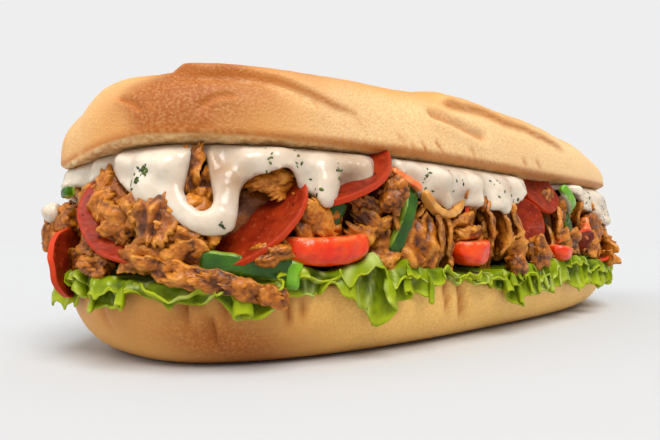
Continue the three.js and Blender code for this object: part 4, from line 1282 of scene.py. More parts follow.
class HeapSteak(Operator):
    """Heap the shaved steak round its core"""

    bl_idname = "cheesesteak.heap_steak"
    bl_label = "Heap the steak"

    def execute(self, context):
        steak = context.scene.cheesesteak_steak
        material = meat_finish(steak)
        core = bmesh.new()
        heap_core(core)
        finished("heap_core", core, material, ["steak"])
        draw = random.Random(5)
        slices, lumps, laps = bmesh.new(), bmesh.new(), bmesh.new()
        for i, (kind, at, turned, size) in enumerate(HERO_MEAT):
            if kind == "chunk":
                folded_slice(lumps, laps, at, turned, size, HERO_SEED + i)
            elif kind == "nugget":
                chunk(lumps, at, turned, size, HERO_SEED + i, hero_fineness(at[0]))
            else:
                shaving(slices, at, turned, size, HERO_SEED + i, hero_fineness(at[0]))
        finished("steak_shavings", slices, material, ["steak"])
        finished("steak_folds", lumps, material, ["steak"])
        finished("steak_laps", laps, material, ["steak"])
        curled, stubby = bmesh.new(), bmesh.new()
        for i in range(steak.scattered):
            bearing = even_bearing((i + draw.uniform(-0.4, 0.4)) / steak.scattered)
            height = 24.4 + 21.5 * ((i * GOLDEN_SHARE) % 1) + draw.uniform(-1, 1)
            at = (bearing, height, draw.uniform(-3.4, -1.2) - 1.8 * bell(arc_between(bearing, 335), 26))
            if kept_clear(at):
                continue
            turned = (draw.uniform(-90, 90), draw.uniform(-20, 40), draw.uniform(-60, 60))
            fineness = 3 if FINE_SCRAPS[0] < bearing < FINE_SCRAPS[1] else 2
            if i % 8:
                size = (draw.uniform(9, 15), draw.uniform(5, 8), draw.uniform(1.6, 2.4))
                size += (draw.choice((-1, 1, 1)) * draw.uniform(50, 140), draw.uniform(-40, 60))
                shaving(curled, at, turned, size, SCRAP_SEED + i, fineness)
            else:
                size = (draw.uniform(7, 11), draw.uniform(5, 8), draw.uniform(5, 7))
                chunk(stubby, at, turned, size, SCRAP_SEED + i, fineness)
        finished("curled_scraps", curled, material, ["steak"])
        finished("stubby_scraps", stubby, material, ["steak"])
        crumbs = bmesh.new()
        for i in range(steak.crumbs):
            at = (draw.uniform(0, 360), draw.uniform(22.6, 40), draw.uniform(-0.6, 1.2))
            edge = draw.uniform(1.2, 3.2)
            size = (edge, edge * draw.uniform(0.4, 0.9), edge * draw.uniform(0.3, 0.6))
            turned = (draw.uniform(0, 180), draw.uniform(0, 90), 0)
            if not kept_clear(at):
                chunk(crumbs, at, turned, size, CRUMB_SEED + i, 1)
        finished("steak_crumbs", crumbs, material)
        return {"FINISHED"}


# ---- cheese ----

SHEET_FACES = (420, 110)  # round the sheet, and over and under it
SHEET_BEND = 0.4  # how far from its middle to its hem the sheet starts to hang
DOLLOP_PLACE = (169.4, 36.4, 4.6)
DOLLOP_ROLL = 14  # degrees
DOLLOP_SIZE = (3.6, 2.7, 2.4)  # half width, half height and half depth
DOLLOP_FACES = (32, 20)
HERB_START = 30  # how far out a flake is let go, before it sticks to the cheese
FLAKE_DEPTH = 0.16
HERB_FLIGHT = 0.036  # metres that a flake may go
# Where the melted cheese ends along the front, by bearing: the height of its hem.
CHEESE_HEM = [
    (160, 43.5),
    (170, 42.2),
    (179, 42.4),
    (182, 44.0),
    (183.7, 44.6),
    (185.4, 45.2),
    (187.6, 44.4),
    (189.2, 42.2),
    (190.6, 39.9),
    (194, 38.5),
    (197.3, 38.0),
    (202.5, 37.3),
    (204.4, 38.2),
    (205.4, 43.0),
    (206.2, 47.6),
    (209.0, 47.8),
    (210.2, 42.4),
    (211.0, 35.0),
    (212.4, 31.6),
    (213.8, 32.8),
    (215.2, 37.4),
    (216.6, 42.2),
    (220, 44.4),
    (224.3, 45.6),
    (225.6, 43.6),
    (226.8, 40.6),
    (230.3, 38.8),
    (233.4, 39.6),
    (236.1, 41.4),
    (238.4, 42.2),
    (240.2, 44.6),
    (241.4, 47.2),
    (243.6, 48.6),
    (245.5, 46.4),
    (247.8, 43.0),
    (250.3, 40.2),
    (254.7, 38.2),
    (259.4, 39.2),
    (263.5, 38.4),
    (267.2, 39.6),
    (268.8, 44.0),
    (270.4, 50.0),
    (278, 50.4),
    (281, 47.2),
    (287.4, 41.6),
    (296, 38.0),
    (306, 35.8),
    (318, 36.0),
    (328, 42.0),
]
# The hidden side hangs in the same uneven way.
BACK_HEM = [
    (328, 42.0),
    (338, 41.0),
    (348, 44.0),
    (358, 37.5),
    (368, 43.0),
    (376, 39.0),
    (388, 47.0),
    (400, 39.5),
    (410, 37.0),
    (420, 46.0),
    (430, 48.0),
    (438, 40.5),
    (446, 37.4),
    (454, 42.0),
    (464, 38.4),
    (476, 46.0),
    (486, 39.0),
    (498, 42.0),
    (508, 38.6),
    (520, 43.5),
]


def hem_height(bearing):
    """How low the cheese hangs at a bearing."""
    bearing %= 360
    first, last = CHEESE_HEM[0][0], CHEESE_HEM[-1][0]
    if bearing < first:
        return smooth_table(BACK_HEM, bearing + 360)
    return smooth_table(BACK_HEM if bearing > last else CHEESE_HEM, bearing)


def cheese_form(bread, thickness):
    """The melted sheet: it lies on the heap under the upper half, and hangs over the filling's face."""
    nudge = 0.02

    def path(bearing, share):
        """The middle of the sheet: how far out of the wall, and its height. share runs from its
        middle on the heap to its hem."""
        spot = wall_point(bearing, -6)
        bed = rim_height(bread, spot.x, spot.y) - CHEESE_BED
        drop = max(bed - hem_height(bearing), 0.2)
        reach = eased(drop, 0.8, 3.4)
        rest = clamp(share / SHEET_BEND)
        hang = clamp((share - SHEET_BEND) / (1 - SHEET_BEND))
        edge = mixed(-7.0, -3.4, reach)
        out = mixed(-24, edge, rest**0.8)
        bow = math.sin(math.pi * clamp(hang * 0.9 + 0.1)) ** 0.7 if hang > 0 else 0.0
        stepped = eased(hang, -0.25, 0.42) ** 1.2 - eased(0, -0.25, 0.42) ** 1.2
        out += reach * (4.4 * stepped + 1.2 * bow * eased(drop, 3, 8))
        height = bed - drop * hang**1.12
        if hang > 0 and reach > 0:
            along = even_place(bearing)
            lumps = 2.0 * wobble((along, height, 0), 10, 21) + 0.8 * wobble((along, height, 5), 4.2, 22)
            folds = 1.7 * wobble((along, height * 0.2, 0), 5.4, 23)
            calm = 1 - bell(arc_between(bearing, 0), 3)
            out += reach * calm * eased(hang, 0, 0.3) * (lumps + folds)
        return out, height

    def form(ball):
        bearing = bearing_of(ball)
        level = level_of(ball)
        share = 1 - abs(level) / 90
        side = math.copysign(1, level) if abs(level) > 1e-3 else 0
        out, height = path(bearing, share)
        out_before, height_before = path(bearing, max(share - nudge, 0))
        out_after, height_after = path(bearing, min(share + nudge, 1))
        along = Vector((out_after - out_before, height_after - height_before))
        along = along.normalized() if along.length > 1e-6 else Vector((1, 0))
        bead = 1 + 0.95 * bell(share - 0.93, 0.06)
        half = thickness / 2 * bead * math.sqrt(clamp(1 - clamp((share - 0.94) / 0.06) ** 2))
        spot = wall_point(bearing, out - along.y * side * half)
        if share < 0.02:
            spot *= 0.02
        elif share < 0.1:
            spot *= share * 10
        return (Vector((spot.x, spot.y, height + along.x * side * half)),)

    return form


DRIP_LINKS = 6  # balls from one place of a drip to the next
# Drips and strands that hang from the sheet: places along each, with its half width and half depth.
DRIPS = [
    [
        ((202.6, 39.0, 2.0), 3.0, 1.5),
        ((204.8, 35.6, 2.8), 2.8, 1.6),
        ((207.4, 33.6, 3.4), 2.6, 1.6),
        ((210.2, 32.8, 3.8), 3.0, 1.8),
        ((212.6, 33.6, 3.6), 3.4, 2.0),
        ((213.4, 38.0, 2.8), 3.0, 1.6),
        ((213.6, 42.6, 1.8), 2.6, 1.2),
    ],
    [
        ((196, 44, 1.2), 3.0, 1.4),
        ((196.6, 40.8, 2.2), 3.6, 1.7),
        ((197, 38.4, 2.2), 3.0, 1.5),
    ],
    [
        ((232.0, 46, 1.2), 3.0, 1.2),
        ((231.4, 42, 2.6), 3.2, 1.4),
        ((231.0, 39.4, 2.6), 3.0, 1.3),
    ],
    [
        ((252, 44, 1.4), 2.0, 1.2),
        ((253.4, 40, 2.4), 2.4, 1.4),
    ],
    [
        ((259.6, 46, 1.6), 1.6, 1.3),
        ((259.8, 40.6, 2.6), 2.0, 1.6),
    ],
    [
        ((264.6, 45, 1.6), 2.6, 1.2),
        ((265.2, 40, 2.4), 3.0, 1.6),
    ],
    [
        ((36, 46, 1.4), 3.0, 1.4),
        ((38, 40, 2.4), 3.0, 1.6),
        ((39, 33, 2.8), 2.6, 1.8),
    ],
    [
        ((84, 46, 1.4), 3.4, 1.4),
        ((86, 38, 2.4), 3.2, 1.7),
        ((87, 31, 2.8), 3.0, 2.0),
    ],
]


def dollop_form(ball):
    """A drop of white sauce that stuck to the left end of the filling."""
    half_width, half_height, half_depth = DOLLOP_SIZE
    depth = ball.z * half_depth + 0.5 * wobble(ball, 0.8, 2)
    place = laid(DOLLOP_PLACE, (DOLLOP_ROLL, 0, 0))
    return (place @ Vector((ball.x * half_width, ball.y * half_height, depth)),)


def drip(bm, stops):
    """A strand of cheese: a chain of flattened balls that melt into one another."""
    for (start, width0, depth0), (end, width1, depth1) in zip(stops, stops[1:]):
        for i in range(DRIP_LINKS + 1):
            share = i / DRIP_LINKS
            at = tuple(mixed(a, b, share) for a, b in zip(start, end))
            width, depth = mixed(width0, width1, share), mixed(depth0, depth1, share)
            place = laid(at) @ Matrix.Diagonal((width, width, depth, 1))
            bmesh.ops.create_icosphere(bm, subdivisions=2, radius=1, matrix=place)


# Where the melted sheet is painted darker, partly where it is thin and the filling shines through
# and partly as painted shade: bearing, height, reach in millimetres, strength.
SHADED_THIN_SPOTS = [
    (186, 43.5, 4, 0.5),
    (205, 40.5, 3, 0.5),
    (209.6, 40, 3.5, 0.6),
    (211, 45, 5, 0.95),
    (214.6, 42, 5, 0.85),
    (224, 47.5, 5, 0.4),
    (236, 45.5, 7, 0.75),
    (240, 46.5, 4, 0.6),
    (247, 44, 4, 0.7),
    (252.5, 41.4, 3.6, 0.7),
    (257, 42, 3, 0.6),
    (261.5, 43, 3, 0.6),
    (266, 45, 4, 0.6),
    (290, 44, 5, 0.4),
    (20, 42, 8, 0.5),
    (60, 44, 8, 0.6),
    (100, 42, 8, 0.5),
    (130, 44, 8, 0.5),
]


def cheese_finish(cheese):
    """Melted white cheese: smooth, wet and slightly see-through, creamier where it is thick. Its
    darker spots are partly the filling showing through and partly painted shade.
    """
    material, tree, shader, masks = new_finish(
        "melted white cheese",
        {"Roughness": 0.2, "Specular IOR Level": 0.5, **see_through(0.5, 2.2, 1.4, 0.8)},
        grains={"uneven": (7, 0.45, 0.7, 3), "waves": (5, 0.2, 0.8, 2)},
        relief=("waves", 0.35),
    )
    # thin: partly thin cheese over the filling, partly painted shade
    thin = add_node(tree, "ShaderNodeMath", {0: masks["uneven"], 1: 0.3}, operation="MULTIPLY").outputs[0]
    for bearing, height, reach, strength in SHADED_THIN_SPOTS:
        spot = wall_point(bearing, 2)
        away = add_node(
            tree,
            "ShaderNodeVectorMath",
            {0: masks["where"], 1: (spot.x, spot.y, height)},
            operation="DISTANCE",
        ).outputs["Value"]
        near = add_node(tree, "ShaderNodeMapRange", {0: away, 1: reach * 1.7, 2: 0.0, 4: strength}).outputs[0]
        thin = add_node(tree, "ShaderNodeMath", {0: thin, 1: near}, operation="MAXIMUM").outputs[0]
    cream = coloured(tree, (*cheese.cheese_colour, 1), (thin, (*cheese.thin_and_shaded_colour, 1), 1))
    tree.links.new(cream, shader.inputs["Base Color"])
    return material


def herb_finish():
    """Dried herbs: dull, dark green flakes."""
    material, tree, shader, masks = new_finish(
        "dried herb flakes",
        {"Roughness": 0.7, "Specular IOR Level": 0.3},
        grains={"uneven": (1.6, 0.4, 0.6, 3)},
    )
    colour = coloured(tree, linear("#2A3A18"), (masks["uneven"], linear("#5B6A28"), 1))
    tree.links.new(colour, shader.inputs["Base Color"])
    return material


# Clusters of herbs on the cheese: bearing, height, spread in millimetres, how many.
HERB_CLUSTERS = [
    (197.0, 44.0, 2.4, 18),
    (195.4, 42.6, 2.0, 10),
    (193.8, 41.6, 1.8, 6),
    (221, 47, 2.6, 6),
    (226, 47, 2.4, 8),
    (233, 45, 2.4, 8),
    (229, 42, 4, 5),
    (236, 42, 4, 4),
    (250, 46, 3, 9),
    (256, 44, 5, 6),
    (264, 45, 4, 6),
    (267.6, 42, 2, 6),
    (288, 46, 6, 14),
    (300, 43, 8, 12),
    (212.6, 33, 1.6, 3),
    (20, 44, 9, 14),
    (60, 44, 9, 12),
    (110, 44, 12, 14),
    (150, 44, 10, 10),
]


class CheeseSettings(PropertyGroup):
    thickness: length_setting("Sheet thickness", "Thickness of the melted sheet", 0.0019)
    fineness: length_setting("Fineness", "Size of the grid on which sheet and drips melt together", 0.0009)
    cheese_colour: colour_setting("Cheese", "Cream of the melted cheese", "#DACCB8")
    # partly the filling showing through thin cheese, partly painted shade
    thin_and_shaded_colour: colour_setting("Thin cheese", "Beige where the filling shines through", "#94683A")


class MeltCheese(Operator):
    """Melt the cheese over the heap and strew it with herbs"""

    bl_idname = "cheesesteak.melt_cheese"
    bl_label = "Melt the cheese"

    def execute(self, context):
        cheese = context.scene.cheesesteak_cheese
        bread = context.scene.cheesesteak_bread
        material = cheese_finish(cheese)
        sheet = bmesh.new()
        moulded(sheet, SHEET_FACES, cheese_form(bread, cheese.thickness / MM))
        for stops in DRIPS:
            drip(sheet, stops)
        piece = finished("melted_cheese", sheet, material, ["cheese"])
        melt = piece.modifiers.new("melted together", "REMESH")
        melt.mode = "VOXEL"
        melt.voxel_size = cheese.fineness
        melt.use_smooth_shade = True
        even = piece.modifiers.new("evened out", "SMOOTH")
        even.factor = 0.5
        even.iterations = 5
        dollop = bmesh.new()
        moulded(dollop, DOLLOP_FACES, dollop_form)
        finished("cheese_dollop", dollop, material, ["blob_1"])
        context.view_layer.update()
        tree = BVHTree.FromObject(piece, context.evaluated_depsgraph_get())
        herbs = bmesh.new()
        draw = random.Random(12)
        for bearing, height, spread, count in HERB_CLUSTERS:
            for _ in range(count):
                angle = bearing + draw.gauss(0, 0.5) * spread * 0.35
                start = wall_point(angle, HERB_START)
                aim = -wall_normal(wall_point(angle, 0))
                level = height + draw.gauss(0, 0.5) * spread
                origin = Vector((start.x, start.y, level)) * MM
                spot, normal, _, _ = tree.ray_cast(origin, Vector((aim.x, aim.y, 0)), HERB_FLIGHT)
                if spot is None:
                    continue
                turn = normal.to_track_quat("Z", "X").to_matrix().to_4x4()
                size = draw.uniform(0.3, 0.75)
                place = Matrix.Translation(spot / MM) @ turn @ Matrix.Rotation(draw.uniform(0, 6.28), 4, "Z")
                place @= Matrix.Diagonal((size, size * draw.uniform(0.35, 0.7), FLAKE_DEPTH, 1))
                bmesh.ops.create_icosphere(herbs, subdivisions=1, radius=1, matrix=place)
        finished("herb_flakes", herbs, herb_finish())
        return {"FINISHED"}


# ---- toppings ----

# Faces of each kind of piece: round it, and from end to end.
SLICE_FACES = (72, 32)
STRIP_FACES = (28, 44)
WEDGE_FACES = (64, 40)


def salami_finish(toppings):
    """Cured salami: red and slightly greasy, with darker lean, small pale specks of fat and a
    lighter, drier edge."""
    material, tree, shader, masks = new_finish(
        "cured salami",
        {"Roughness": 0.38, "Specular IOR Level": 0.15},
        marks=("rim",),
        grains={
            "lean": (4, 0.35, 0.7, 3),
            "fat": (1.3, 0.6, 0.72, 2),
            "pepper": (1.7, 0.7, 0.74, 1),
            "dimples": (1.2, 0.2, 0.8, 3),
        },
        relief=("dimples", 0.1),
    )
    face = coloured(
        tree,
        (*toppings.salami_colour, 1),
        (masks["lean"], linear("#661206"), 0.8),
        (masks["fat"], linear("#B0502C"), 0.5),
        (masks["pepper"], linear("#3A0E0A"), 0.9),
        (masks["rim"], linear("#C23A14"), 1),
    )
    tree.links.new(face, shader.inputs["Base Color"])
    return material


def salami_slice(name, at, turned, size, nodes, material):
    """A thin slice of salami, curled up into a shallow cup by the heat."""
    radius, thickness, cup = size
    place = laid(at, turned)
    seed = sum(map(ord, name))

    def form(ball):
        reach = math.hypot(ball.x, ball.y)
        flat = Vector((ball.x, ball.y, 0)).normalized() if reach > 1e-6 else Vector((1, 0, 0))
        spread = clamp(reach * 1.04) ** 0.8
        waved = 1 + 0.03 * wobble(flat * 2, 1, seed)
        point = flat * radius * spread * waved
        face = signed_power(ball.z, 0.25) * thickness / 2
        rise = cup * spread**2 + 0.5 * spread**2 * wobble(flat * 1.6, 1, seed + 1)
        rise += 0.12 * wobble(point, 2.4, seed)
        point.z = face * (1 - 0.15 * spread) + rise
        return place @ point, eased(spread, 0.93, 0.99) * (0.35 + 0.65 * (abs(ball.z) < 0.25))

    bm = bmesh.new()
    moulded(bm, SLICE_FACES, form, ("rim",))
    return finished(name, bm, material, nodes)


def bar(name, at, turned, size, nodes, material, taper=0.0):
    """A bent strip with rounded edges. size is its length, width, thickness and bend in degrees."""
    length, width, thickness, arc = size
    place = laid(at, turned)
    seed = sum(map(ord, name))
    bend = math.radians(arc)
    radius = length / bend

    def form(ball):
        along = math.asin(clamp(ball.z, -1, 1)) / (math.pi / 2)
        along = signed_power(along, 0.85)
        shrink = (1 - abs(along) ** 14) ** 0.5 * (1 - taper * along)
        reach = max(math.hypot(ball.x, ball.y), 1e-6)
        across = signed_power(ball.x / reach, 0.5) * width / 2 * shrink
        outward = signed_power(ball.y / reach, 0.5) * thickness / 2 * shrink
        across += 0.25 * wobble((along * length, across, 0), 4, seed)
        outward += 0.18 * wobble((along * length, across, 3), 3, seed)
        turn = along * bend / 2
        point = Vector(
            ((radius + outward) * math.sin(turn), across, (radius + outward) * math.cos(turn) - radius)
        )
        flesh = eased(-outward / thickness, 0.12, 0.34)
        cut = eased(abs(across) / width, 0.4, 0.49) * 0.8
        return place @ point, clamp(max(flesh, cut))

    bm = bmesh.new()
    moulded(bm, STRIP_FACES, form, ("flesh",))
    return finished(name, bm, material, nodes)


def pepper_finish(name, roughness, specular, patch, colours, flesh=None, relief=None):
    """Green bell pepper: a taut, glossy skin with lighter patches of a size in millimetres, over pale,
    wet flesh."""
    material, tree, shader, masks = new_finish(
        name,
        {"Roughness": roughness, "Specular IOR Level": specular},
        marks=("flesh",),
        grains={"patches": (patch, 0.35, 0.7, 3), "dents": (3, 0.2, 0.8, 3)},
        relief=relief,
    )
    colour = coloured(tree, colours[0], (masks["patches"], colours[1], 1))
    if flesh:
        colour = coloured(tree, colour, (masks["flesh"], flesh, 1))
    tree.links.new(colour, shader.inputs["Base Color"])
    return material


def tomato_finish(toppings):
    """Tomato: a thin, taut skin with a wet shine over juicy flesh, lighter along the cut."""
    material, tree, shader, masks = new_finish(
        "ripe tomato",
        {
            "Roughness": 0.22,
            "Specular IOR Level": 0.3,
            "Coat Weight": 0.2,
            "Coat Roughness": 0.06,
            **see_through(0.1, 2, 0.6, 0.3),
        },
        marks=("cut",),
        grains={
            "juice": (2.2, 0.35, 0.65, 3),
            "blush": (4, 0.38, 0.66, 3),
            "dents": (3.2, 0.2, 0.8, 3),
        },
        relief=("dents", 0.5),
    )
    flesh = coloured(tree, linear("#DC3E0E"), (masks["juice"], linear("#EE7A3E"), 1))
    skin = coloured(
        tree,
        (*toppings.tomato_colour, 1),
        (masks["blush"], linear("#E65010"), 0.8),
        (masks["cut"], flesh, 1),
    )
    tree.links.new(skin, shader.inputs["Base Color"])
    return material


def tomato_wedge(name, at, turned, size, nodes, material):
    """A slice of tomato that lies flat, with its skin towards the viewer."""
    radius, thickness, deep = size
    place = laid(at, turned)
    seed = sum(map(ord, name))

    def form(ball):
        reach = max(math.hypot(ball.x, ball.z), 1e-6)
        flat = math.asin(clamp(ball.y, -1, 1)) / (math.pi / 2)
        rise = signed_power(flat, 0.8) * thickness / 2 * (1 - 0.3 * clamp(-ball.x))
        under = 0.42 if flat < 0 else 0.14
        bulge = 1 - under * abs(flat) ** 2.2 - 0.3 * abs(flat) ** 12
        x = ball.x / reach * (radius + 1.2) * bulge
        z = ball.z / reach
        z = (z * deep if z > 0 else z * deep * 1.6) * bulge
        fill = clamp(math.hypot(ball.x, ball.z) * 6)
        x, z = x * fill, z * fill
        z += 0.5 * wobble((x, rise, z), 4, seed)
        rise += 0.1 * radius * (x / radius) ** 2
        cut = eased(flat, 0.45, 0.8)
        return held_in(place @ Vector((x, rise, z))), cut

    bm = bmesh.new()
    moulded(bm, WEDGE_FACES, form, ("cut",))
    return finished(name, bm, material, nodes)


def carrot_finish(toppings):
    """Raw carrot: dense and orange, with fine fibres along the stick."""
    material, tree, shader, masks = new_finish(
        "raw carrot",
        {"Roughness": 0.3, "Specular IOR Level": 0.5},
        grains={"pale": (2.4, 0.35, 0.65, 3), "fibre": (0.9, 0.2, 0.8, 3)},
        relief=("fibre", 0.12),
    )
    colour = coloured(tree, (*toppings.carrot_colour, 1), (masks["pale"], linear("#F08A48"), 1))
    tree.links.new(colour, shader.inputs["Base Color"])
    return material


def onion_finish(toppings):
    """Fried onion: soft, glossy and see-through, golden in patches."""
    material, tree, shader, masks = new_finish(
        "fried onion",
        {"Roughness": 0.18, "Specular IOR Level": 0.5, **see_through(0.5, 2, 1.2, 0.4)},
        grains={"browned": (3, 0.35, 0.7, 3)},
    )
    colour = coloured(tree, (*toppings.onion_colour, 1), (masks["browned"], linear("#B87C30"), 1))
    tree.links.new(colour, shader.inputs["Base Color"])
    return material


# Each topping of the front: place, turn, size and, for those that the hidden side repeats, True.
SALAMI = {
    "salami_1": ((175, 24, 1.6), (0, -6, 131), (8.6, 2.4, 0.4), True),
    "salami_2": ((190, 36, -8), (0, -34, 36), (16, 2, 2), True),
    "salami_3": ((217.4, 35.4, -8.4), (3, -38, -44), (17, 2.2, 1.4), True),
    "salami_4": ((236.2, 46.2, -8), (0, -52, -52), (15, 2.4, 1), False),
    "salami_5": ((270, 35, -4.6), (0, -10, -34), (9, 2, 1.5), True),
    "salami_6": ((272.5, 47, -4), (0, -30, -10), (9.5, 2, 1), False),
    "salami_7": ((285, 29, -3), (0, 44, -20), (8, 2, 1.2), True),
    "salami_8": ((297, 20.6, -1), (0, 60, 0), (6, 1.8, 1), False),
    "salami_9": ((260, 37, -4), (0, -10, 40), (6, 1.8, 1), False),
}
TOMATO = {
    "tomato_1": ((231.2, 26.8, 1.2), (2, 0, 0), (10.6, 7.0, 4.8), True),
    "tomato_2": ((258.9, 25.8, 1.2), (2, 0, 0), (5.6, 7.4, 4.4), True),
    "tomato_3": ((274.2, 25, 1.4), (-6, 0, 0), (4, 5.6, 4), True),
}
PEPPER = {
    "pepper_1": ((217.4, 23.8, 2.8), (-6, 10, 0), (21, 5.0, 2.6, 34), True),
    "pepper_2": ((246, 34.6, 1), (66, 0, 0), (19, 4, 2.4, 40), True),
    "pepper_3": ((233.4, 36, -1.6), (60, 0, 0), (7, 5.4, 3.6, 20), False),
    "pepper_4": ((278.6, 44, 1.2), (-34, 20, 0), (18, 3.6, 2.6, 80), True),
    "pepper_5": ((177, 41, 3.4), (10, 0, 0), (4, 2.4, 2.4, 20), False),
    "pepper_6": ((279, 36, -1), (-60, 0, 0), (8, 5, 3, 30), False),
}
# The first strip's end, which turns up and shows its bright side.
PEPPER_END = ((225.2, 22.2, 2.8), (80, 0, -10), (7.6, 3.6, 2.2, 90))
CARROT = {
    "carrot_1": ((245.9, 44.9, 1.8), (-22, 0, 0), (11.4, 1.9, 1.9, 8), True),
    "carrot_2": ((286.5, 34.5, 0.6), (70, 0, 0), (8.5, 6, 3.4, 30), True),
}
ONION = {
    "onion_1": ((253.8, 36.6, 1.0), (-6, 84, 0), (24, 3.0, 2.4, 125), True),
}


def with_the_back(toppings, draw):
    """The toppings of one kind, and the like ones on the hidden side, each with its node's name."""
    for name, (at, turned, size, repeated) in toppings.items():
        yield name, at, turned, size
        if repeated:
            kind, number = name.split("_")
            node = f"{kind}_back_{number}"
            low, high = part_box(node)
            middle = (low + high) / 2 / MM
            bearing = nearest_bearing(middle.x, middle.y)
            turned = (turned[0] + draw.uniform(-8, 8), turned[1], turned[2] + draw.uniform(-4, 4))
            yield node, (bearing, middle.z, at[2]), turned, size


def nearest_bearing(x, y):
    """The bearing at which a place lies, seen from the middle."""
    angle = math.atan2(
        signed_power(y / WALL_HALF_WIDTH, WALL_POWER / 2), signed_power(x / WALL_HALF_LENGTH, WALL_POWER / 2)
    )
    return math.degrees(angle) % 360


class ToppingSettings(PropertyGroup):
    salami_colour: colour_setting("Salami", "Red of the salami", "#942C0C")
    tomato_colour: colour_setting("Tomato", "Red of the tomato's skin", "#D42600")
    pepper_colour: colour_setting("Pepper", "Green of the pepper's skin", "#1E4402")
    carrot_colour: colour_setting("Carrot", "Orange of the carrot", "#E8642A")
    onion_colour: colour_setting("Onion", "Gold of the fried onion", "#D89C48")


class AddSalami(Operator):
    """Tuck the salami slices into the heap"""

    bl_idname = "cheesesteak.add_salami"
    bl_label = "Add the salami"

    def execute(self, context):
        material = salami_finish(context.scene.cheesesteak_toppings)
        for name, at, turned, size in with_the_back(SALAMI, random.Random(3)):
            salami_slice(f"slice_of_{name}", at, turned, size, [name], material)
        return {"FINISHED"}


class AddVegetables(Operator):
    """Tuck tomato, pepper, carrot and onion into the heap"""

    bl_idname = "cheesesteak.add_vegetables"
    bl_label = "Add the vegetables"

    def execute(self, context):
        toppings = context.scene.cheesesteak_toppings
        tomato = tomato_finish(toppings)
        for name, at, turned, size in with_the_back(TOMATO, random.Random(4)):
            tomato_wedge(f"wedge_of_{name}", at, turned, size, [name], tomato)
        skin = ((*toppings.pepper_colour, 1), linear("#3A6404"))
        green = pepper_finish("green bell pepper", 0.26, 0.35, 6, skin, linear("#8FA62E"), ("dents", 0.3))
        # Cut across, a ring of pepper shows nearly white flesh over bright green skin.
        skin = (linear("#5E9A1C"), linear("#86B92C"))
        pale = pepper_finish("cut green pepper", 0.22, 0.5, 5, skin, linear("#E6EBCB"))
        # The turned-up end of a strip is thin enough to let the light through.
        bright = pepper_finish("thin green pepper", 0.2, 0.5, 4, (linear("#5E9A06"), linear("#93BE14")))
        for name, at, turned, size in with_the_back(PEPPER, random.Random(6)):
            material = pale if name.endswith("_4") else green
            bar(f"strip_of_{name}", at, turned, size, [name], material)
        at, turned, size = PEPPER_END
        bar("end_of_pepper_1", at, turned, size, ["pepper_1"], bright)
        carrot = carrot_finish(toppings)
        for name, at, turned, size in with_the_back(CARROT, random.Random(7)):
            bar(f"stick_of_{name}", at, turned, size, [name], carrot)
        onion = onion_finish(toppings)
        for name, at, turned, size in with_the_back(ONION, random.Random(8)):
            bar(f"ring_of_{name}", at, turned, size, [name], onion)
        return {"FINISHED"}


# ---- stage ----

CAMERA_PLACE = (-0.186, -0.137, 0.029)  # metres
CAMERA_HEADING = 46  # degrees from +Y towards +X
CAMERA_PITCH = 2.2  # degrees upwards
FOCAL_PIXELS = 580  # the lens's focal length, in pixels of the picture
IMAGE_WIDTH = 660  # pixels
SENSOR_WIDTH = 36  # millimetres
BACKDROP = 0.855  # the pale wall behind the sandwich, as linear grey
STUDIO_GLOW = 0.5  # how much light the studio's walls give off
KEY_LIGHT = (-74, 56, 40)  # heading, elevation and spread in degrees
FILL_LIGHT = (-150, 34, 60)
FLOOR_RADIUS = 6  # metres
NEAREST = 0.01  # metres from the camera


class StageSettings(PropertyGroup):
    floor_colour: FloatVectorProperty(
        name="Floor",
        description="Colour of the plain floor",
        default=(0.568, 0.571, 0.574),
        subtype="COLOR",
    )
    key_strength: strength_setting("Key light", "Strength of the soft light from above on the right", 3.25)
    fill_strength: strength_setting("Fill light", "Strength of the soft light from the left", 0.95)


def soft_sun(name, heading, elevation, spread, strength):
    """A far, broad light. heading is where it stands, from the camera's right towards its front."""
    lamp = bpy.data.lights.new(name, "SUN")
    lamp.angle = math.radians(spread)
    lamp.energy = strength
    light = bpy.data.objects.new(name, lamp)
    turn, rise = math.radians(heading - CAMERA_HEADING), math.radians(elevation)
    way = Vector((math.cos(turn) * math.cos(rise), math.sin(turn) * math.cos(rise), math.sin(rise)))
    light.location = way
    light.rotation_euler = way.to_track_quat("Z", "Y").to_euler()
    bpy.context.scene.collection.objects.link(light)


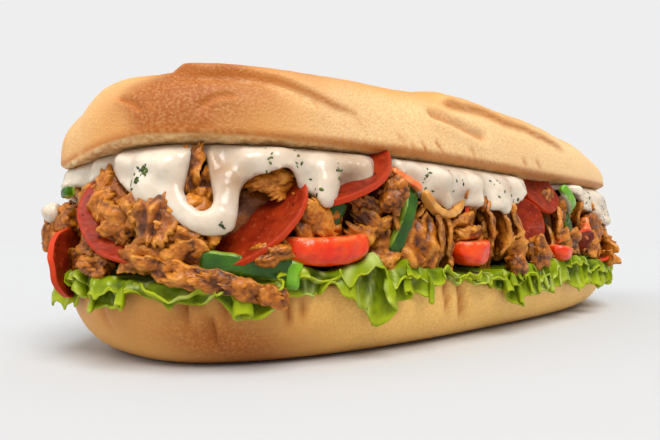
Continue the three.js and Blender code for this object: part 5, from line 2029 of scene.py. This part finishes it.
class SetStage(Operator):
    """Set the floor, the lights and the camera"""

    bl_idname = "cheesesteak.set_stage"
    bl_label = "Set the stage"

    def execute(self, context):
        stage = context.scene.cheesesteak_stage
        # Matt paint: even and pale, with no shine under the sandwich.
        paint = {"Roughness": 0.9, "Specular IOR Level": 0.1, "Base Color": (*stage.floor_colour, 1)}
        material = new_finish("matt studio floor", paint)[0]
        bm = bmesh.new()
        bmesh.ops.create_circle(bm, cap_ends=True, segments=96, radius=FLOOR_RADIUS)
        mesh = bpy.data.meshes.new("studio_floor")
        bm.to_mesh(mesh)
        bm.free()
        mesh.materials.append(material)
        floor = bpy.data.objects.new("studio_floor", mesh)
        context.scene.collection.objects.link(floor)

        world = bpy.data.worlds.new("pale studio")
        world.use_nodes = True
        context.scene.world = world
        tree = world.node_tree
        seen = add_node(tree, "ShaderNodeLightPath").outputs["Is Camera Ray"]
        sky = coloured(tree, (*(STUDIO_GLOW,) * 3, 1), (seen, (*(BACKDROP,) * 3, 1), 1))
        tree.links.new(sky, tree.nodes["Background"].inputs["Color"])
        soft_sun("key", *KEY_LIGHT, stage.key_strength)
        soft_sun("fill", *FILL_LIGHT, stage.fill_strength)

        lens = bpy.data.cameras.new("camera")
        lens.lens = FOCAL_PIXELS * SENSOR_WIDTH / IMAGE_WIDTH
        lens.sensor_width = SENSOR_WIDTH
        lens.clip_start = NEAREST
        camera = bpy.data.objects.new("camera", lens)
        camera.location = CAMERA_PLACE
        heading = math.radians(CAMERA_HEADING)
        camera.rotation_euler = (math.radians(90 + CAMERA_PITCH), 0, -heading)
        context.scene.collection.objects.link(camera)
        context.scene.camera = camera
        context.scene.view_settings.view_transform = "Standard"
        return {"FINISHED"}


class CheesesteakPanel(Panel):
    """Every step of the sandwich, and its sizes and colours"""

    bl_label = "Cheesesteak"
    bl_idname = "VIEW3D_PT_cheesesteak"
    bl_space_type = "VIEW_3D"
    bl_region_type = "UI"
    bl_category = "Cheesesteak"

    def draw(self, context):
        scene = context.scene
        for operator, settings in STEPS:
            box = self.layout.box()
            box.operator(operator.bl_idname)
            group = getattr(scene, settings)
            for name in type(group).__annotations__:
                box.prop(group, name)


STEPS = (
    (BakeRoll, "cheesesteak_bread"),
    (LayLettuce, "cheesesteak_lettuce"),
    (HeapSteak, "cheesesteak_steak"),
    (MeltCheese, "cheesesteak_cheese"),
    (AddSalami, "cheesesteak_toppings"),
    (AddVegetables, "cheesesteak_toppings"),
    (SetStage, "cheesesteak_stage"),
)
SETTINGS = {
    "cheesesteak_bread": BreadSettings,
    "cheesesteak_lettuce": LettuceSettings,
    "cheesesteak_steak": SteakSettings,
    "cheesesteak_cheese": CheeseSettings,
    "cheesesteak_toppings": ToppingSettings,
    "cheesesteak_stage": StageSettings,
}


def register():
    for group in SETTINGS.values():
        bpy.utils.register_class(group)
    for operator, _ in STEPS:
        bpy.utils.register_class(operator)
    bpy.utils.register_class(CheesesteakPanel)
    for name, group in SETTINGS.items():
        setattr(bpy.types.Scene, name, PointerProperty(type=group))


def unregister():
    for name in SETTINGS:
        delattr(bpy.types.Scene, name)
    bpy.utils.unregister_class(CheesesteakPanel)
    for operator, _ in reversed(STEPS):
        bpy.utils.unregister_class(operator)
    for group in reversed(SETTINGS.values()):
        bpy.utils.unregister_class(group)


def main():
    register()
    for operator, _ in STEPS:
        group, name = operator.bl_idname.split(".")
        getattr(getattr(bpy.ops, group), name)()


if __name__ == "__main__":
    main()
